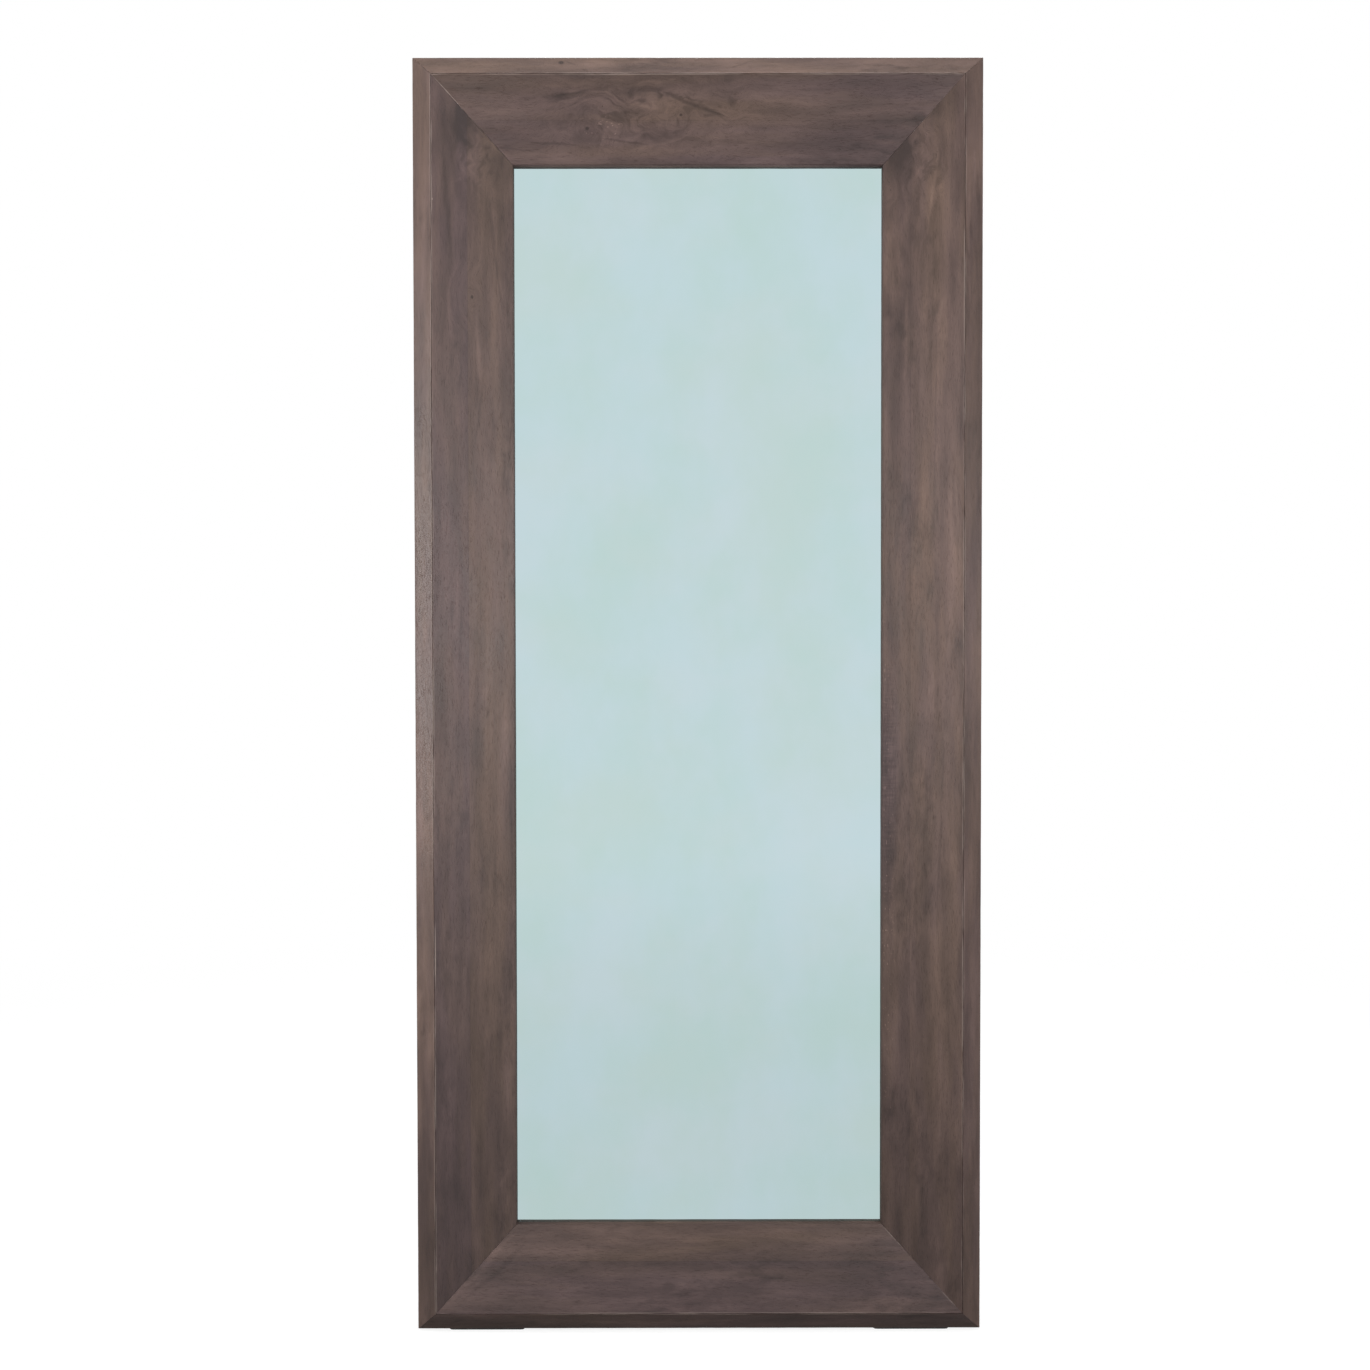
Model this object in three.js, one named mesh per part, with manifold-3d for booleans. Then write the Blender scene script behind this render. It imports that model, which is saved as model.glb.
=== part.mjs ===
// Leaning floor mirror: a mitred hardwood frame around one tall mirror glass.
//
// Millimetres, +Z up. The mirror faces -Y and stands upright on its two floor pads, with the origin under its
// middle. Across the frame, u runs inward from the outer edge. Depths run back from the front ridge, the line
// where the steep outer chamfer meets the wide, gently sloping face.

import * as THREE from 'three';
import { mergeVertices } from 'three/addons/utils/BufferGeometryUtils.js';
import Module from 'manifold-3d';

const wasm = await Module();
wasm.setup();

// Frame
const FRAME_WIDTH = 900;
const FRAME_HEIGHT = 2020;

// Outer edge moulding
const MOULDING_WIDTH = 31;
const MOULDING_DEPTH = 66;
const CHAMFER_DEPTH = 22;

// Wide face boards: the faces of stiles and rails between the ridge and the glass
const STILE_FACE = 127;
const RAIL_FACE = 137;
const FACE_DROP = 24;
const LIP_THICKNESS = 13;
const REBATE_WIDTH = 11;

// Joints in the wood. Each mitred end is cut back along its own member, which leaves a joint of about 0.3.
const SEAM_GAP = 0.3;
const MITRE_CUTBACK = 0.2;
const RIDGE_ARRIS = 0.9;
const SIGHT_ARRIS = 1.2;
const OUTER_ARRIS = 2.4;
const BACK_ARRIS = 1.5;
const ARRIS_STEPS = 3;

// Glass and what lies behind it
const GLASS_THICKNESS = 5;
const GLASS_CLEARANCE = 1;
const FOAM_THICKNESS = 3;
const FOAM_MARGIN = 4;
const PANEL_THICKNESS = 6;
const PANEL_OVERLAP = 32;
const PANEL_CORNER_RADIUS = 3;
const PANEL_SCREW_MARGIN = 120;
const PANEL_SCREWS_PER_STILE = 4;
const PANEL_SCREWS_PER_RAIL = 3;

// Pan head wood screws
const SHANK_RADIUS = 1.7;
const HOLE_CLEARANCE = 0.5;
const HEAD_RADIUS = 3.6;
const HEAD_HEIGHT = 2.2;
const HEAD_RIM = 0.7;
const HEAD_CROWN_RADIUS = 2.2;
const TIP_LENGTH = 3;
const HOLE_EXTRA_DEPTH = 1.5;
const PANEL_SCREW_LENGTH = 17;
const CORNER_SCREW_LENGTH = 20;
const HANGER_SCREW_LENGTH = 20;
const SCREW_SIDES = 8;

// Flat steel corner plates over the mitres
const PLATE_THICKNESS = 2;
const PLATE_LEG = 65;
const PLATE_LEG_WIDTH = 19;
const PLATE_INSET = 15;
const PLATE_CORNER_RADIUS = 4;
const PLATE_HOLE_SPACING = 24;
const PLATE_END_TO_HOLE = 10;

// D-ring hangers on the backs of the side mouldings
const HANGER_BELOW_TOP = 420;
const STRAP_WIDTH = 14;
const STRAP_THICKNESS = 1.2;
const STRAP_BELOW_LAST_HOLE = 7;
const STRAP_FIRST_HOLE = 24;
const STRAP_HOLE_SPACING = 16;
const WIRE_RADIUS = 1.8;
const WIRE_CLEARANCE = 0.4;
const RING_INNER_WIDTH = 20;
const RING_DROP = 17;
const RING_CORNER = 3;
const RING_STEPS = 40;
const WIRE_SIDES = 8;
const KNUCKLE_STEPS = 10;

// Rubber parts
const BUMPER_THICKNESS = 8;
const BUMPER_BASE_RADIUS = 11;
const BUMPER_TOP_RADIUS = 9;
const BUMPER_EDGE = 1.2;
const BUMPER_END_MARGIN = 60;
const BUMPER_SIDES = 20;
const PAD_THICKNESS = 2.5;
const PAD_LENGTH = 120;
const PAD_FRONT_MARGIN = 3;
const PAD_BACK_MARGIN = 5;
const PAD_END_MARGIN = 50;
const PAD_CORNER_RADIUS = 6;

// Worked-out depths behind the ridge
const GLASS_FRONT = FACE_DROP + LIP_THICKNESS;
const GLASS_BACK = GLASS_FRONT + GLASS_THICKNESS;
const BOARD_BACK = GLASS_BACK + FOAM_THICKNESS;
const PANEL_BACK = BOARD_BACK + PANEL_THICKNESS;
const PLATE_BACK = BOARD_BACK + PLATE_THICKNESS;
const STRAP_BACK = MOULDING_DEPTH + STRAP_THICKNESS;
const TOTAL_DEPTH = MOULDING_DEPTH + BUMPER_THICKNESS;

// Worked-out sizes across the frame
const STILE_WIDTH = MOULDING_WIDTH + STILE_FACE;
const RAIL_WIDTH = MOULDING_WIDTH + RAIL_FACE;
const REBATE_HALF_WIDTH = FRAME_WIDTH / 2 - STILE_WIDTH + REBATE_WIDTH;
const REBATE_HALF_HEIGHT = FRAME_HEIGHT / 2 - RAIL_WIDTH + REBATE_WIDTH;
const PANEL_HALF_WIDTH = REBATE_HALF_WIDTH + PANEL_OVERLAP;
const PANEL_HALF_HEIGHT = REBATE_HALF_HEIGHT + PANEL_OVERLAP;
const HOLE_RADIUS = SHANK_RADIUS + HOLE_CLEARANCE;
const KNUCKLE_BORE = WIRE_RADIUS + WIRE_CLEARANCE;
const KNUCKLE_RADIUS = KNUCKLE_BORE + STRAP_THICKNESS;
const HANGER_X = FRAME_WIDTH / 2 - MOULDING_WIDTH / 2;
const HANGER_Z = FRAME_HEIGHT - HANGER_BELOW_TOP;
const RING_AXIS_DEPTH = MOULDING_DEPTH + KNUCKLE_RADIUS;

function finish(name, color, roughness, metalness = 0) {
  return { name, color, roughness, metalness };
}

const WOOD = finish('stained hardwood', 0x6b5a56, 0.6);
const MIRROR = finish('mirror glass', 0xc1d5d5, 0.03, 1);
const FOAM = finish('white foam', 0xe6e6e2, 0.95);
const FIBREBOARD = finish('fibreboard', 0x8a6a4c, 0.85);
const STEEL = finish('zinc plated steel', 0xb4b4ae, 0.35, 1);
const RUBBER = finish('black rubber', 0x1d1d1e, 0.8);

// All pieces hang in this group, whose y runs back from the ridge and whose z starts at the frame's bottom edge.
const frameSpace = new THREE.Group();
frameSpace.position.set(0, -TOTAL_DEPTH / 2, PAD_THICKNESS);

function addPiece(name, geometry, look) {
  const { color, roughness, metalness } = look;
  const material = new THREE.MeshStandardMaterial({ name: look.name, color, roughness, metalness });
  const mesh = new THREE.Mesh(geometry, material);
  mesh.name = name;
  frameSpace.add(mesh);
  return mesh;
}

// Booleans

function toSolid(geometry) {
  const bare = geometry.clone();
  bare.deleteAttribute('normal');
  bare.deleteAttribute('uv');
  const merged = mergeVertices(bare);
  const vertProperties = new Float32Array(merged.attributes.position.array);
  const triVerts = new Uint32Array(merged.index.array);
  return new wasm.Manifold(new wasm.Mesh({ numProp: 3, vertProperties, triVerts }));
}

function toGeometry(solid) {
  const mesh = solid.getMesh();
  const geometry = new THREE.BufferGeometry();
  geometry.setAttribute('position', new THREE.BufferAttribute(mesh.vertProperties, 3));
  geometry.setIndex(new THREE.BufferAttribute(mesh.triVerts, 1));
  geometry.computeVertexNormals();
  return geometry;
}

// Blind screw holes, bored forward from the given depth. Positions are [x, z] in frameSpace.
function drill(mesh, positions, fromDepth, holeDepth) {
  mesh.updateMatrix();
  const toLocal = mesh.matrix.clone().invert();
  let solid = toSolid(mesh.geometry);
  for (const [x, z] of positions) {
    const overrun = 1;
    const bit = new THREE.CylinderGeometry(HOLE_RADIUS, HOLE_RADIUS, holeDepth + overrun, SCREW_SIDES);
    bit.translate(x, fromDepth + overrun - (holeDepth + overrun) / 2, z);
    bit.applyMatrix4(toLocal);
    solid = solid.subtract(toSolid(bit));
  }
  mesh.geometry = toGeometry(solid);
}

// Outlines

// A closed outline through [x, y, softening] corners. Softening is how far the rounding reaches along each side.
function softOutline(corners) {
  const outline = new THREE.Shape();
  corners.forEach(([x, y, soft = 0], i) => {
    const corner = new THREE.Vector2(x, y);
    const before = corners[(i + corners.length - 1) % corners.length];
    const after = corners[(i + 1) % corners.length];
    const entry = new THREE.Vector2(before[0], before[1]).sub(corner).setLength(soft).add(corner);
    const exit = new THREE.Vector2(after[0], after[1]).sub(corner).setLength(soft).add(corner);
    if (i === 0) outline.moveTo(entry.x, entry.y);
    else outline.lineTo(entry.x, entry.y);
    if (soft > 0) outline.quadraticCurveTo(x, y, exit.x, exit.y);
  });
  outline.closePath();
  return outline;
}

function softRectangle(left, bottom, right, top, soft) {
  return softOutline([[left, bottom, soft], [right, bottom, soft], [right, top, soft], [left, top, soft]]);
}

function punch(outline, positions, radius) {
  for (const [x, y] of positions) {
    const hole = new THREE.Path();
    for (let i = 0; i < SCREW_SIDES; i++) {
      const angle = -i / SCREW_SIDES * 2 * Math.PI;
      const point = [x + radius * Math.cos(angle), y + radius * Math.sin(angle)];
      if (i === 0) hole.moveTo(...point);
      else hole.lineTo(...point);
    }
    hole.closePath();
    outline.holes.push(hole);
  }
}

// A flat plate whose outline is drawn in x and z, with its front face at depth 0.
function flatPlate(outline, thickness) {
  const settings = { depth: thickness, bevelEnabled: false, curveSegments: ARRIS_STEPS };
  const geometry = new THREE.ExtrudeGeometry(outline, settings);
  geometry.rotateX(Math.PI / 2);
  geometry.translate(0, thickness, 0);
  return geometry;
}

// Wooden members. Each is drawn as the left one, with x as u, y as depth and z up its length from a corner.
// The other three are the same drawing turned about the depth axis.

const SIDES = [
  {
    name: 'left', kind: 'stile', turn: 0, corner: [-FRAME_WIDTH / 2, 0],
    length: FRAME_HEIGHT, face: STILE_FACE, nextFace: RAIL_FACE,
  },
  {
    name: 'bottom', kind: 'rail', turn: -Math.PI / 2, corner: [FRAME_WIDTH / 2, 0],
    length: FRAME_WIDTH, face: RAIL_FACE, nextFace: STILE_FACE,
  },
  {
    name: 'right', kind: 'stile', turn: Math.PI, corner: [FRAME_WIDTH / 2, FRAME_HEIGHT],
    length: FRAME_HEIGHT, face: STILE_FACE, nextFace: RAIL_FACE,
  },
  {
    name: 'top', kind: 'rail', turn: Math.PI / 2, corner: [-FRAME_WIDTH / 2, FRAME_HEIGHT],
    length: FRAME_WIDTH, face: RAIL_FACE, nextFace: STILE_FACE,
  },
];

// endInset(u) is how far from the outer corner the mitre crosses the member at that u.
function mitredMember(section, length, endInset) {
  const settings = { depth: length, bevelEnabled: false, curveSegments: ARRIS_STEPS };
  const geometry = new THREE.ExtrudeGeometry(section, settings);
  const points = geometry.attributes.position;
  for (let i = 0; i < points.count; i++) {
    const inset = endInset(points.getX(i)) + MITRE_CUTBACK;
    points.setZ(i, points.getZ(i) > length / 2 ? length - inset : inset);
  }
  geometry.computeVertexNormals();
  return geometry;
}

function placeMember(mesh, side) {
  mesh.position.set(side.corner[0], 0, side.corner[1]);
  mesh.rotation.y = side.turn;
}

function edgeMoulding(side) {
  const section = softOutline([
    [0, CHAMFER_DEPTH, OUTER_ARRIS],
    [MOULDING_WIDTH, 0, RIDGE_ARRIS],
    [MOULDING_WIDTH, MOULDING_DEPTH, BACK_ARRIS],
    [0, MOULDING_DEPTH, BACK_ARRIS],
  ]);
  const geometry = mitredMember(section, side.length, (u) => u);
  const moulding = addPiece(`${side.name}_edge_moulding`, geometry, WOOD);
  placeMember(moulding, side);
  return moulding;
}

function faceBoard(side) {
  const sight = MOULDING_WIDTH + side.face;
  const seam = MOULDING_WIDTH + SEAM_GAP;
  const rebate = sight - REBATE_WIDTH;
  const section = softOutline([
    [seam, 0, RIDGE_ARRIS],
    [sight, FACE_DROP, SIGHT_ARRIS],
    [sight, GLASS_FRONT],
    [rebate, GLASS_FRONT],
    [rebate, BOARD_BACK],
    [seam, BOARD_BACK],
  ]);
  const slope = side.nextFace / side.face;
  const geometry = mitredMember(section, side.length, (u) => MOULDING_WIDTH + (u - MOULDING_WIDTH) * slope);
  const board = addPiece(`${side.name}_${side.kind}_board`, geometry, WOOD);
  placeMember(board, side);
  return board;
}

// Screws

function screwGeometry(length) {
  const profile = [
    [0, -length],
    [SHANK_RADIUS, TIP_LENGTH - length],
    [SHANK_RADIUS, 0],
    [HEAD_RADIUS, 0],
    [HEAD_RADIUS, HEAD_RIM],
    [HEAD_CROWN_RADIUS, HEAD_HEIGHT],
    [0, HEAD_HEIGHT],
  ];
  return new THREE.LatheGeometry(profile.map(([r, y]) => new THREE.Vector2(r, y)), SCREW_SIDES);
}

// The screws' heads bear on the surface at seatDepth, and their tips point to the front.
function addScrews(prefix, positions, seatDepth, length) {
  const geometry = screwGeometry(length);
  positions.forEach(([x, z], i) => {
    const screw = addPiece(`${prefix}_${i + 1}`, geometry, STEEL);
    screw.position.set(x, seatDepth, z);
  });
}

function spread(count, from, to) {
  return Array.from({ length: count }, (_, i) => from + (to - from) * i / (count - 1));
}

// Frame of wood

const mouldings = {};
const boards = {};
for (const side of SIDES) {
  mouldings[side.name] = edgeMoulding(side);
  boards[side.name] = faceBoard(side);
}

// Glass, foam and back panel

const middleZ = FRAME_HEIGHT / 2;
const glassWidth = 2 * (REBATE_HALF_WIDTH - GLASS_CLEARANCE);
const glassHeight = 2 * (REBATE_HALF_HEIGHT - GLASS_CLEARANCE);
const glass = addPiece('mirror_glass', new THREE.BoxGeometry(glassWidth, GLASS_THICKNESS, glassHeight), MIRROR);
glass.position.set(0, GLASS_FRONT + GLASS_THICKNESS / 2, middleZ);

const foamGeometry = new THREE.BoxGeometry(
  glassWidth - 2 * FOAM_MARGIN,
  FOAM_THICKNESS,
  glassHeight - 2 * FOAM_MARGIN,
);
const foam = addPiece('foam_sheet', foamGeometry, FOAM);
foam.position.set(0, GLASS_BACK + FOAM_THICKNESS / 2, middleZ);

const panelScrewX = PANEL_HALF_WIDTH - PANEL_OVERLAP / 2;
const panelScrewZ = PANEL_HALF_HEIGHT - PANEL_OVERLAP / 2;
const stileRun = PANEL_HALF_HEIGHT - PANEL_SCREW_MARGIN;
const railRun = PANEL_HALF_WIDTH - PANEL_SCREW_MARGIN;
const stileHeights = spread(PANEL_SCREWS_PER_STILE, middleZ - stileRun, middleZ + stileRun);
const railPlaces = spread(PANEL_SCREWS_PER_RAIL, -railRun, railRun);
const panelScrews = {
  left: stileHeights.map((z) => [-panelScrewX, z]),
  right: stileHeights.map((z) => [panelScrewX, z]),
  bottom: railPlaces.map((x) => [x, middleZ - panelScrewZ]),
  top: railPlaces.map((x) => [x, middleZ + panelScrewZ]),
};

const panelOutline = softRectangle(
  -PANEL_HALF_WIDTH,
  middleZ - PANEL_HALF_HEIGHT,
  PANEL_HALF_WIDTH,
  middleZ + PANEL_HALF_HEIGHT,
  PANEL_CORNER_RADIUS,
);
punch(panelOutline, Object.values(panelScrews).flat(), HOLE_RADIUS);
const panel = addPiece('back_panel', flatPlate(panelOutline, PANEL_THICKNESS), FIBREBOARD);
panel.position.y = BOARD_BACK;

const panelHoleDepth = PANEL_SCREW_LENGTH - PANEL_THICKNESS + HOLE_EXTRA_DEPTH;
for (const [sideName, positions] of Object.entries(panelScrews)) {
  drill(boards[sideName], positions, BOARD_BACK, panelHoleDepth);
  addScrews(`panel_screw_${sideName}`, positions, PANEL_BACK, PANEL_SCREW_LENGTH);
}

// Corner plates. Each is drawn for the lower left corner, and across and up are 1 or -1 to turn it over.

function addCornerPlate(name, across, up, stileBoard, railBoard) {
  const start = MOULDING_WIDTH + PLATE_INSET;
  const end = start + PLATE_LEG;
  const inner = start + PLATE_LEG_WIDTH;
  const line = start + PLATE_LEG_WIDTH / 2;
  const outerHole = end - PLATE_END_TO_HOLE;
  const innerHole = outerHole - PLATE_HOLE_SPACING;
  const place = ([x, z]) => [across * (x - FRAME_WIDTH / 2), up > 0 ? z : FRAME_HEIGHT - z];
  const corners = [
    [start, start, PLATE_CORNER_RADIUS],
    [end, start, PLATE_CORNER_RADIUS],
    [end, inner, PLATE_CORNER_RADIUS],
    [inner, inner, 0],
    [inner, end, PLATE_CORNER_RADIUS],
    [start, end, PLATE_CORNER_RADIUS],
  ];
  const placed = corners.map(([x, z, soft]) => [...place([x, z]), soft]);
  const outline = softOutline(across * up > 0 ? placed : placed.reverse());
  const stileHoles = [[line, innerHole], [line, outerHole]].map(place);
  const railHoles = [[innerHole, line], [outerHole, line]].map(place);
  const holes = [...stileHoles, ...railHoles];
  punch(outline, holes, HOLE_RADIUS);
  const plate = addPiece(`corner_plate_${name}`, flatPlate(outline, PLATE_THICKNESS), STEEL);
  plate.position.y = BOARD_BACK;
  const holeDepth = CORNER_SCREW_LENGTH - PLATE_THICKNESS + HOLE_EXTRA_DEPTH;
  drill(stileBoard, stileHoles, BOARD_BACK, holeDepth);
  drill(railBoard, railHoles, BOARD_BACK, holeDepth);
  addScrews(`corner_screw_${name}`, holes, PLATE_BACK, CORNER_SCREW_LENGTH);
}

addCornerPlate('bottom_left', 1, 1, boards.left, boards.bottom);
addCornerPlate('bottom_right', -1, 1, boards.right, boards.bottom);
addCornerPlate('top_left', 1, -1, boards.left, boards.top);
addCornerPlate('top_right', -1, -1, boards.right, boards.top);

// D-ring hangers. Both the strap plate and its ring are drawn about the ring's axis, which runs along x.

function strapGeometry() {
  const lastHole = STRAP_FIRST_HOLE + STRAP_HOLE_SPACING;
  const strapEnd = lastHole + STRAP_BELOW_LAST_HOLE;
  const front = -KNUCKLE_RADIUS;
  const back = front + STRAP_THICKNESS;
  const meet = Math.asin(back / KNUCKLE_RADIUS);
  const section = new THREE.Shape();
  section.moveTo(front, -strapEnd);
  section.lineTo(back, -strapEnd);
  section.absarc(0, 0, KNUCKLE_RADIUS, meet - Math.PI / 2, Math.PI, false);
  section.closePath();
  const bore = new THREE.Path();
  bore.absarc(0, 0, KNUCKLE_BORE, 0, 2 * Math.PI, true);
  section.holes.push(bore);
  const settings = { depth: STRAP_WIDTH, bevelEnabled: false, curveSegments: KNUCKLE_STEPS };
  const rolled = new THREE.ExtrudeGeometry(section, settings);
  rolled.translate(0, 0, -STRAP_WIDTH / 2);
  // The section was drawn with depth as x and height as y: stand it up and lay its width along x.
  rolled.applyMatrix4(new THREE.Matrix4().makeBasis(
    new THREE.Vector3(0, 1, 0),
    new THREE.Vector3(0, 0, 1),
    new THREE.Vector3(1, 0, 0),
  ));
  const half = STRAP_WIDTH / 2;
  const outline = softOutline([
    [-half, -strapEnd, half / 2],
    [half, -strapEnd, half / 2],
    [half, 2 * KNUCKLE_RADIUS],
    [-half, 2 * KNUCKLE_RADIUS],
  ]);
  punch(outline, [[0, -STRAP_FIRST_HOLE], [0, -lastHole]], HOLE_RADIUS);
  const trim = flatPlate(outline, 4 * KNUCKLE_RADIUS);
  trim.translate(0, -2 * KNUCKLE_RADIUS, 0);
  return toGeometry(toSolid(rolled).intersect(toSolid(trim)));
}

// The ring hangs below its straight bar. Its wire is one closed loop with a round section.
function ringGeometry() {
  const half = RING_INNER_WIDTH / 2 + WIRE_RADIUS;
  const path = new THREE.Path();
  path.moveTo(RING_CORNER - half, 0);
  path.lineTo(half - RING_CORNER, 0);
  path.quadraticCurveTo(half, 0, half, -RING_CORNER);
  path.lineTo(half, half - RING_DROP);
  path.absarc(0, half - RING_DROP, half, 0, -Math.PI, true);
  path.lineTo(-half, -RING_CORNER);
  path.quadraticCurveTo(-half, 0, RING_CORNER - half, 0);
  const positions = [];
  const index = [];
  for (let i = 0; i < RING_STEPS; i++) {
    const centre = path.getPointAt(i / RING_STEPS);
    const along = path.getTangentAt(i / RING_STEPS);
    for (let j = 0; j < WIRE_SIDES; j++) {
      const angle = j / WIRE_SIDES * 2 * Math.PI;
      const outward = WIRE_RADIUS * Math.cos(angle);
      positions.push(centre.x - along.y * outward, WIRE_RADIUS * Math.sin(angle), centre.y + along.x * outward);
      const next = (j + 1) % WIRE_SIDES;
      const here = i * WIRE_SIDES;
      const there = (i + 1) % RING_STEPS * WIRE_SIDES;
      index.push(here + j, there + j, here + next);
      index.push(here + next, there + j, there + next);
    }
  }
  const geometry = new THREE.BufferGeometry();
  geometry.setAttribute('position', new THREE.Float32BufferAttribute(positions, 3));
  geometry.setIndex(index);
  geometry.computeVertexNormals();
  return geometry;
}

const strap = strapGeometry();
const ring = ringGeometry();
for (const [side, x] of [['left', -HANGER_X], ['right', HANGER_X]]) {
  const plate = addPiece(`hanger_plate_${side}`, strap, STEEL);
  plate.position.set(x, RING_AXIS_DEPTH, HANGER_Z);
  const hangerRing = addPiece(`hanger_ring_${side}`, ring, STEEL);
  hangerRing.position.set(x, RING_AXIS_DEPTH, HANGER_Z);
  const firstHole = HANGER_Z - STRAP_FIRST_HOLE;
  const holes = [[x, firstHole], [x, firstHole - STRAP_HOLE_SPACING]];
  const holeDepth = HANGER_SCREW_LENGTH - STRAP_THICKNESS + HOLE_EXTRA_DEPTH;
  drill(mouldings[side], holes, MOULDING_DEPTH, holeDepth);
  addScrews(`hanger_screw_${side}`, holes, STRAP_BACK, HANGER_SCREW_LENGTH);
}

// Rubber bumpers on the back edges, and rubber pads under the bottom moulding

const bumperProfile = [
  [0, 0],
  [BUMPER_BASE_RADIUS, 0],
  [BUMPER_TOP_RADIUS, BUMPER_THICKNESS - BUMPER_EDGE],
  [BUMPER_TOP_RADIUS - BUMPER_EDGE, BUMPER_THICKNESS],
  [0, BUMPER_THICKNESS],
];
const bumperPoints = bumperProfile.map(([r, y]) => new THREE.Vector2(r, y));
const bumperGeometry = new THREE.LatheGeometry(bumperPoints, BUMPER_SIDES);
for (const [end, z] of [['bottom', BUMPER_END_MARGIN], ['top', FRAME_HEIGHT - BUMPER_END_MARGIN]]) {
  for (const [side, x] of [['left', -HANGER_X], ['right', HANGER_X]]) {
    const bumper = addPiece(`wall_bumper_${end}_${side}`, bumperGeometry, RUBBER);
    bumper.position.set(x, MOULDING_DEPTH, z);
  }
}

const padFront = CHAMFER_DEPTH + PAD_FRONT_MARGIN;
const padBack = MOULDING_DEPTH - PAD_BACK_MARGIN;
const padOutline = softRectangle(-PAD_LENGTH / 2, padFront, PAD_LENGTH / 2, padBack, PAD_CORNER_RADIUS);
const padSettings = { depth: PAD_THICKNESS, bevelEnabled: false, curveSegments: ARRIS_STEPS };
const padGeometry = new THREE.ExtrudeGeometry(padOutline, padSettings);
const padX = FRAME_WIDTH / 2 - PAD_END_MARGIN - PAD_LENGTH / 2;
for (const [side, x] of [['left', -padX], ['right', padX]]) {
  const pad = addPiece(`floor_pad_${side}`, padGeometry, RUBBER);
  pad.position.set(x, 0, -PAD_THICKNESS);
}

const floorMirror = new THREE.Group();
floorMirror.name = 'floor_mirror';
floorMirror.add(frameSpace);

export default floorMirror;
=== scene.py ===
"""Leaning floor mirror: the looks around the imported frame.

Metres, +Z up, and the mirror faces -Y. Every wooden member is rebuilt with a fine mesh in the place of its
node. Across a member, u runs inward from the outer edge, depth runs back from the front ridge, and s runs
along it.
"""

import math

import bmesh
import bpy
from mathutils import Matrix, Vector, noise


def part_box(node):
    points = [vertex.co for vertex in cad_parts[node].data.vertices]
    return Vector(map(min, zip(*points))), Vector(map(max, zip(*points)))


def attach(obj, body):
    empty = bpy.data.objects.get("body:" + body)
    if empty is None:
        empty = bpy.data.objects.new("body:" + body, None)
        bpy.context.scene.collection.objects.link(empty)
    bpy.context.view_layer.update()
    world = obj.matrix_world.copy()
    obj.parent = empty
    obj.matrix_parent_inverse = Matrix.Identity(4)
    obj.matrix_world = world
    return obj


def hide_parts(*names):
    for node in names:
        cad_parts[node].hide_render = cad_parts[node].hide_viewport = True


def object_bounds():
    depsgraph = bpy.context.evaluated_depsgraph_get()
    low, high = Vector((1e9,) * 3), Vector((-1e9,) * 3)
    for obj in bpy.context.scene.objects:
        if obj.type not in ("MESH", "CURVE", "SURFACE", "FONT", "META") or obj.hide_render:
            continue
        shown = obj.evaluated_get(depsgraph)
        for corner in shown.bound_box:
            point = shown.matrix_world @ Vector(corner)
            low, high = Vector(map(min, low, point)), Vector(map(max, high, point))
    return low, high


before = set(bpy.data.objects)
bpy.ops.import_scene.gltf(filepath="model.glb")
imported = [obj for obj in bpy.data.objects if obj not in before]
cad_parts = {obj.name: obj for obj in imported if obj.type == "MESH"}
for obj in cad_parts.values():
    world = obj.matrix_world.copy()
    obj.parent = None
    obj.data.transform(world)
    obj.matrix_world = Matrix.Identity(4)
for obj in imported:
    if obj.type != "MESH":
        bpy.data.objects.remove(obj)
cad_low, cad_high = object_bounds()

# ======== Sizes ========

# The members' sections, as the CAD has them. BAND is a moulding's width, the depths run back from the ridge, SEAM
# is the glue line beside a moulding, and CUTBACK keeps a member's ends off its mitres.
BAND = 0.031
BACK_DEPTH = 0.066
CHAMFER = 0.022
STILE_FACE = 0.127
RAIL_FACE = 0.137
FACE_DROP = 0.024
GLASS_DEPTH = 0.037
BOARD_BACK = 0.045
REBATE = 0.011
SEAM = 0.0003
CUTBACK = 0.0002

# The outer sizes, taken from the frame
WIDTH = cad_high.x - cad_low.x
TOP = cad_high.z
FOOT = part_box("left_edge_moulding")[0].z - CUTBACK
HEIGHT = TOP - FOOT
RIDGE_Y = round(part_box("wall_bumper_top_left")[0].y - BACK_DEPTH, 4)

# How far the rounding of each long edge reaches along its two sides
RIDGE_SOFT = 0.0009
SIGHT_SOFT = 0.0012
OUTER_SOFT = 0.0024
BACK_SOFT = 0.0015

# A member's mesh: its spacing along and across, the distance from a rounding to the line that supports it, and
# the number of faces round it
STATION = 0.012
FACE_STEP = 0.009
SUPPORT = 0.0009
ROUND_STEPS = 4

# How much the planed surface rolls, and how deep its long edges are worn
ROLL = 0.00008
WEAR = 0.00022

# A point within FLUSH of a flat side lies on it, and the stain ends STAIN_REACH down a moulding's inner side
FLUSH = 0.0002
STAIN_REACH = 0.002

# Half the length of a patch that runs from end to end of any member
ENDLESS = 1e6


# ======== Node graphs ========

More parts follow.
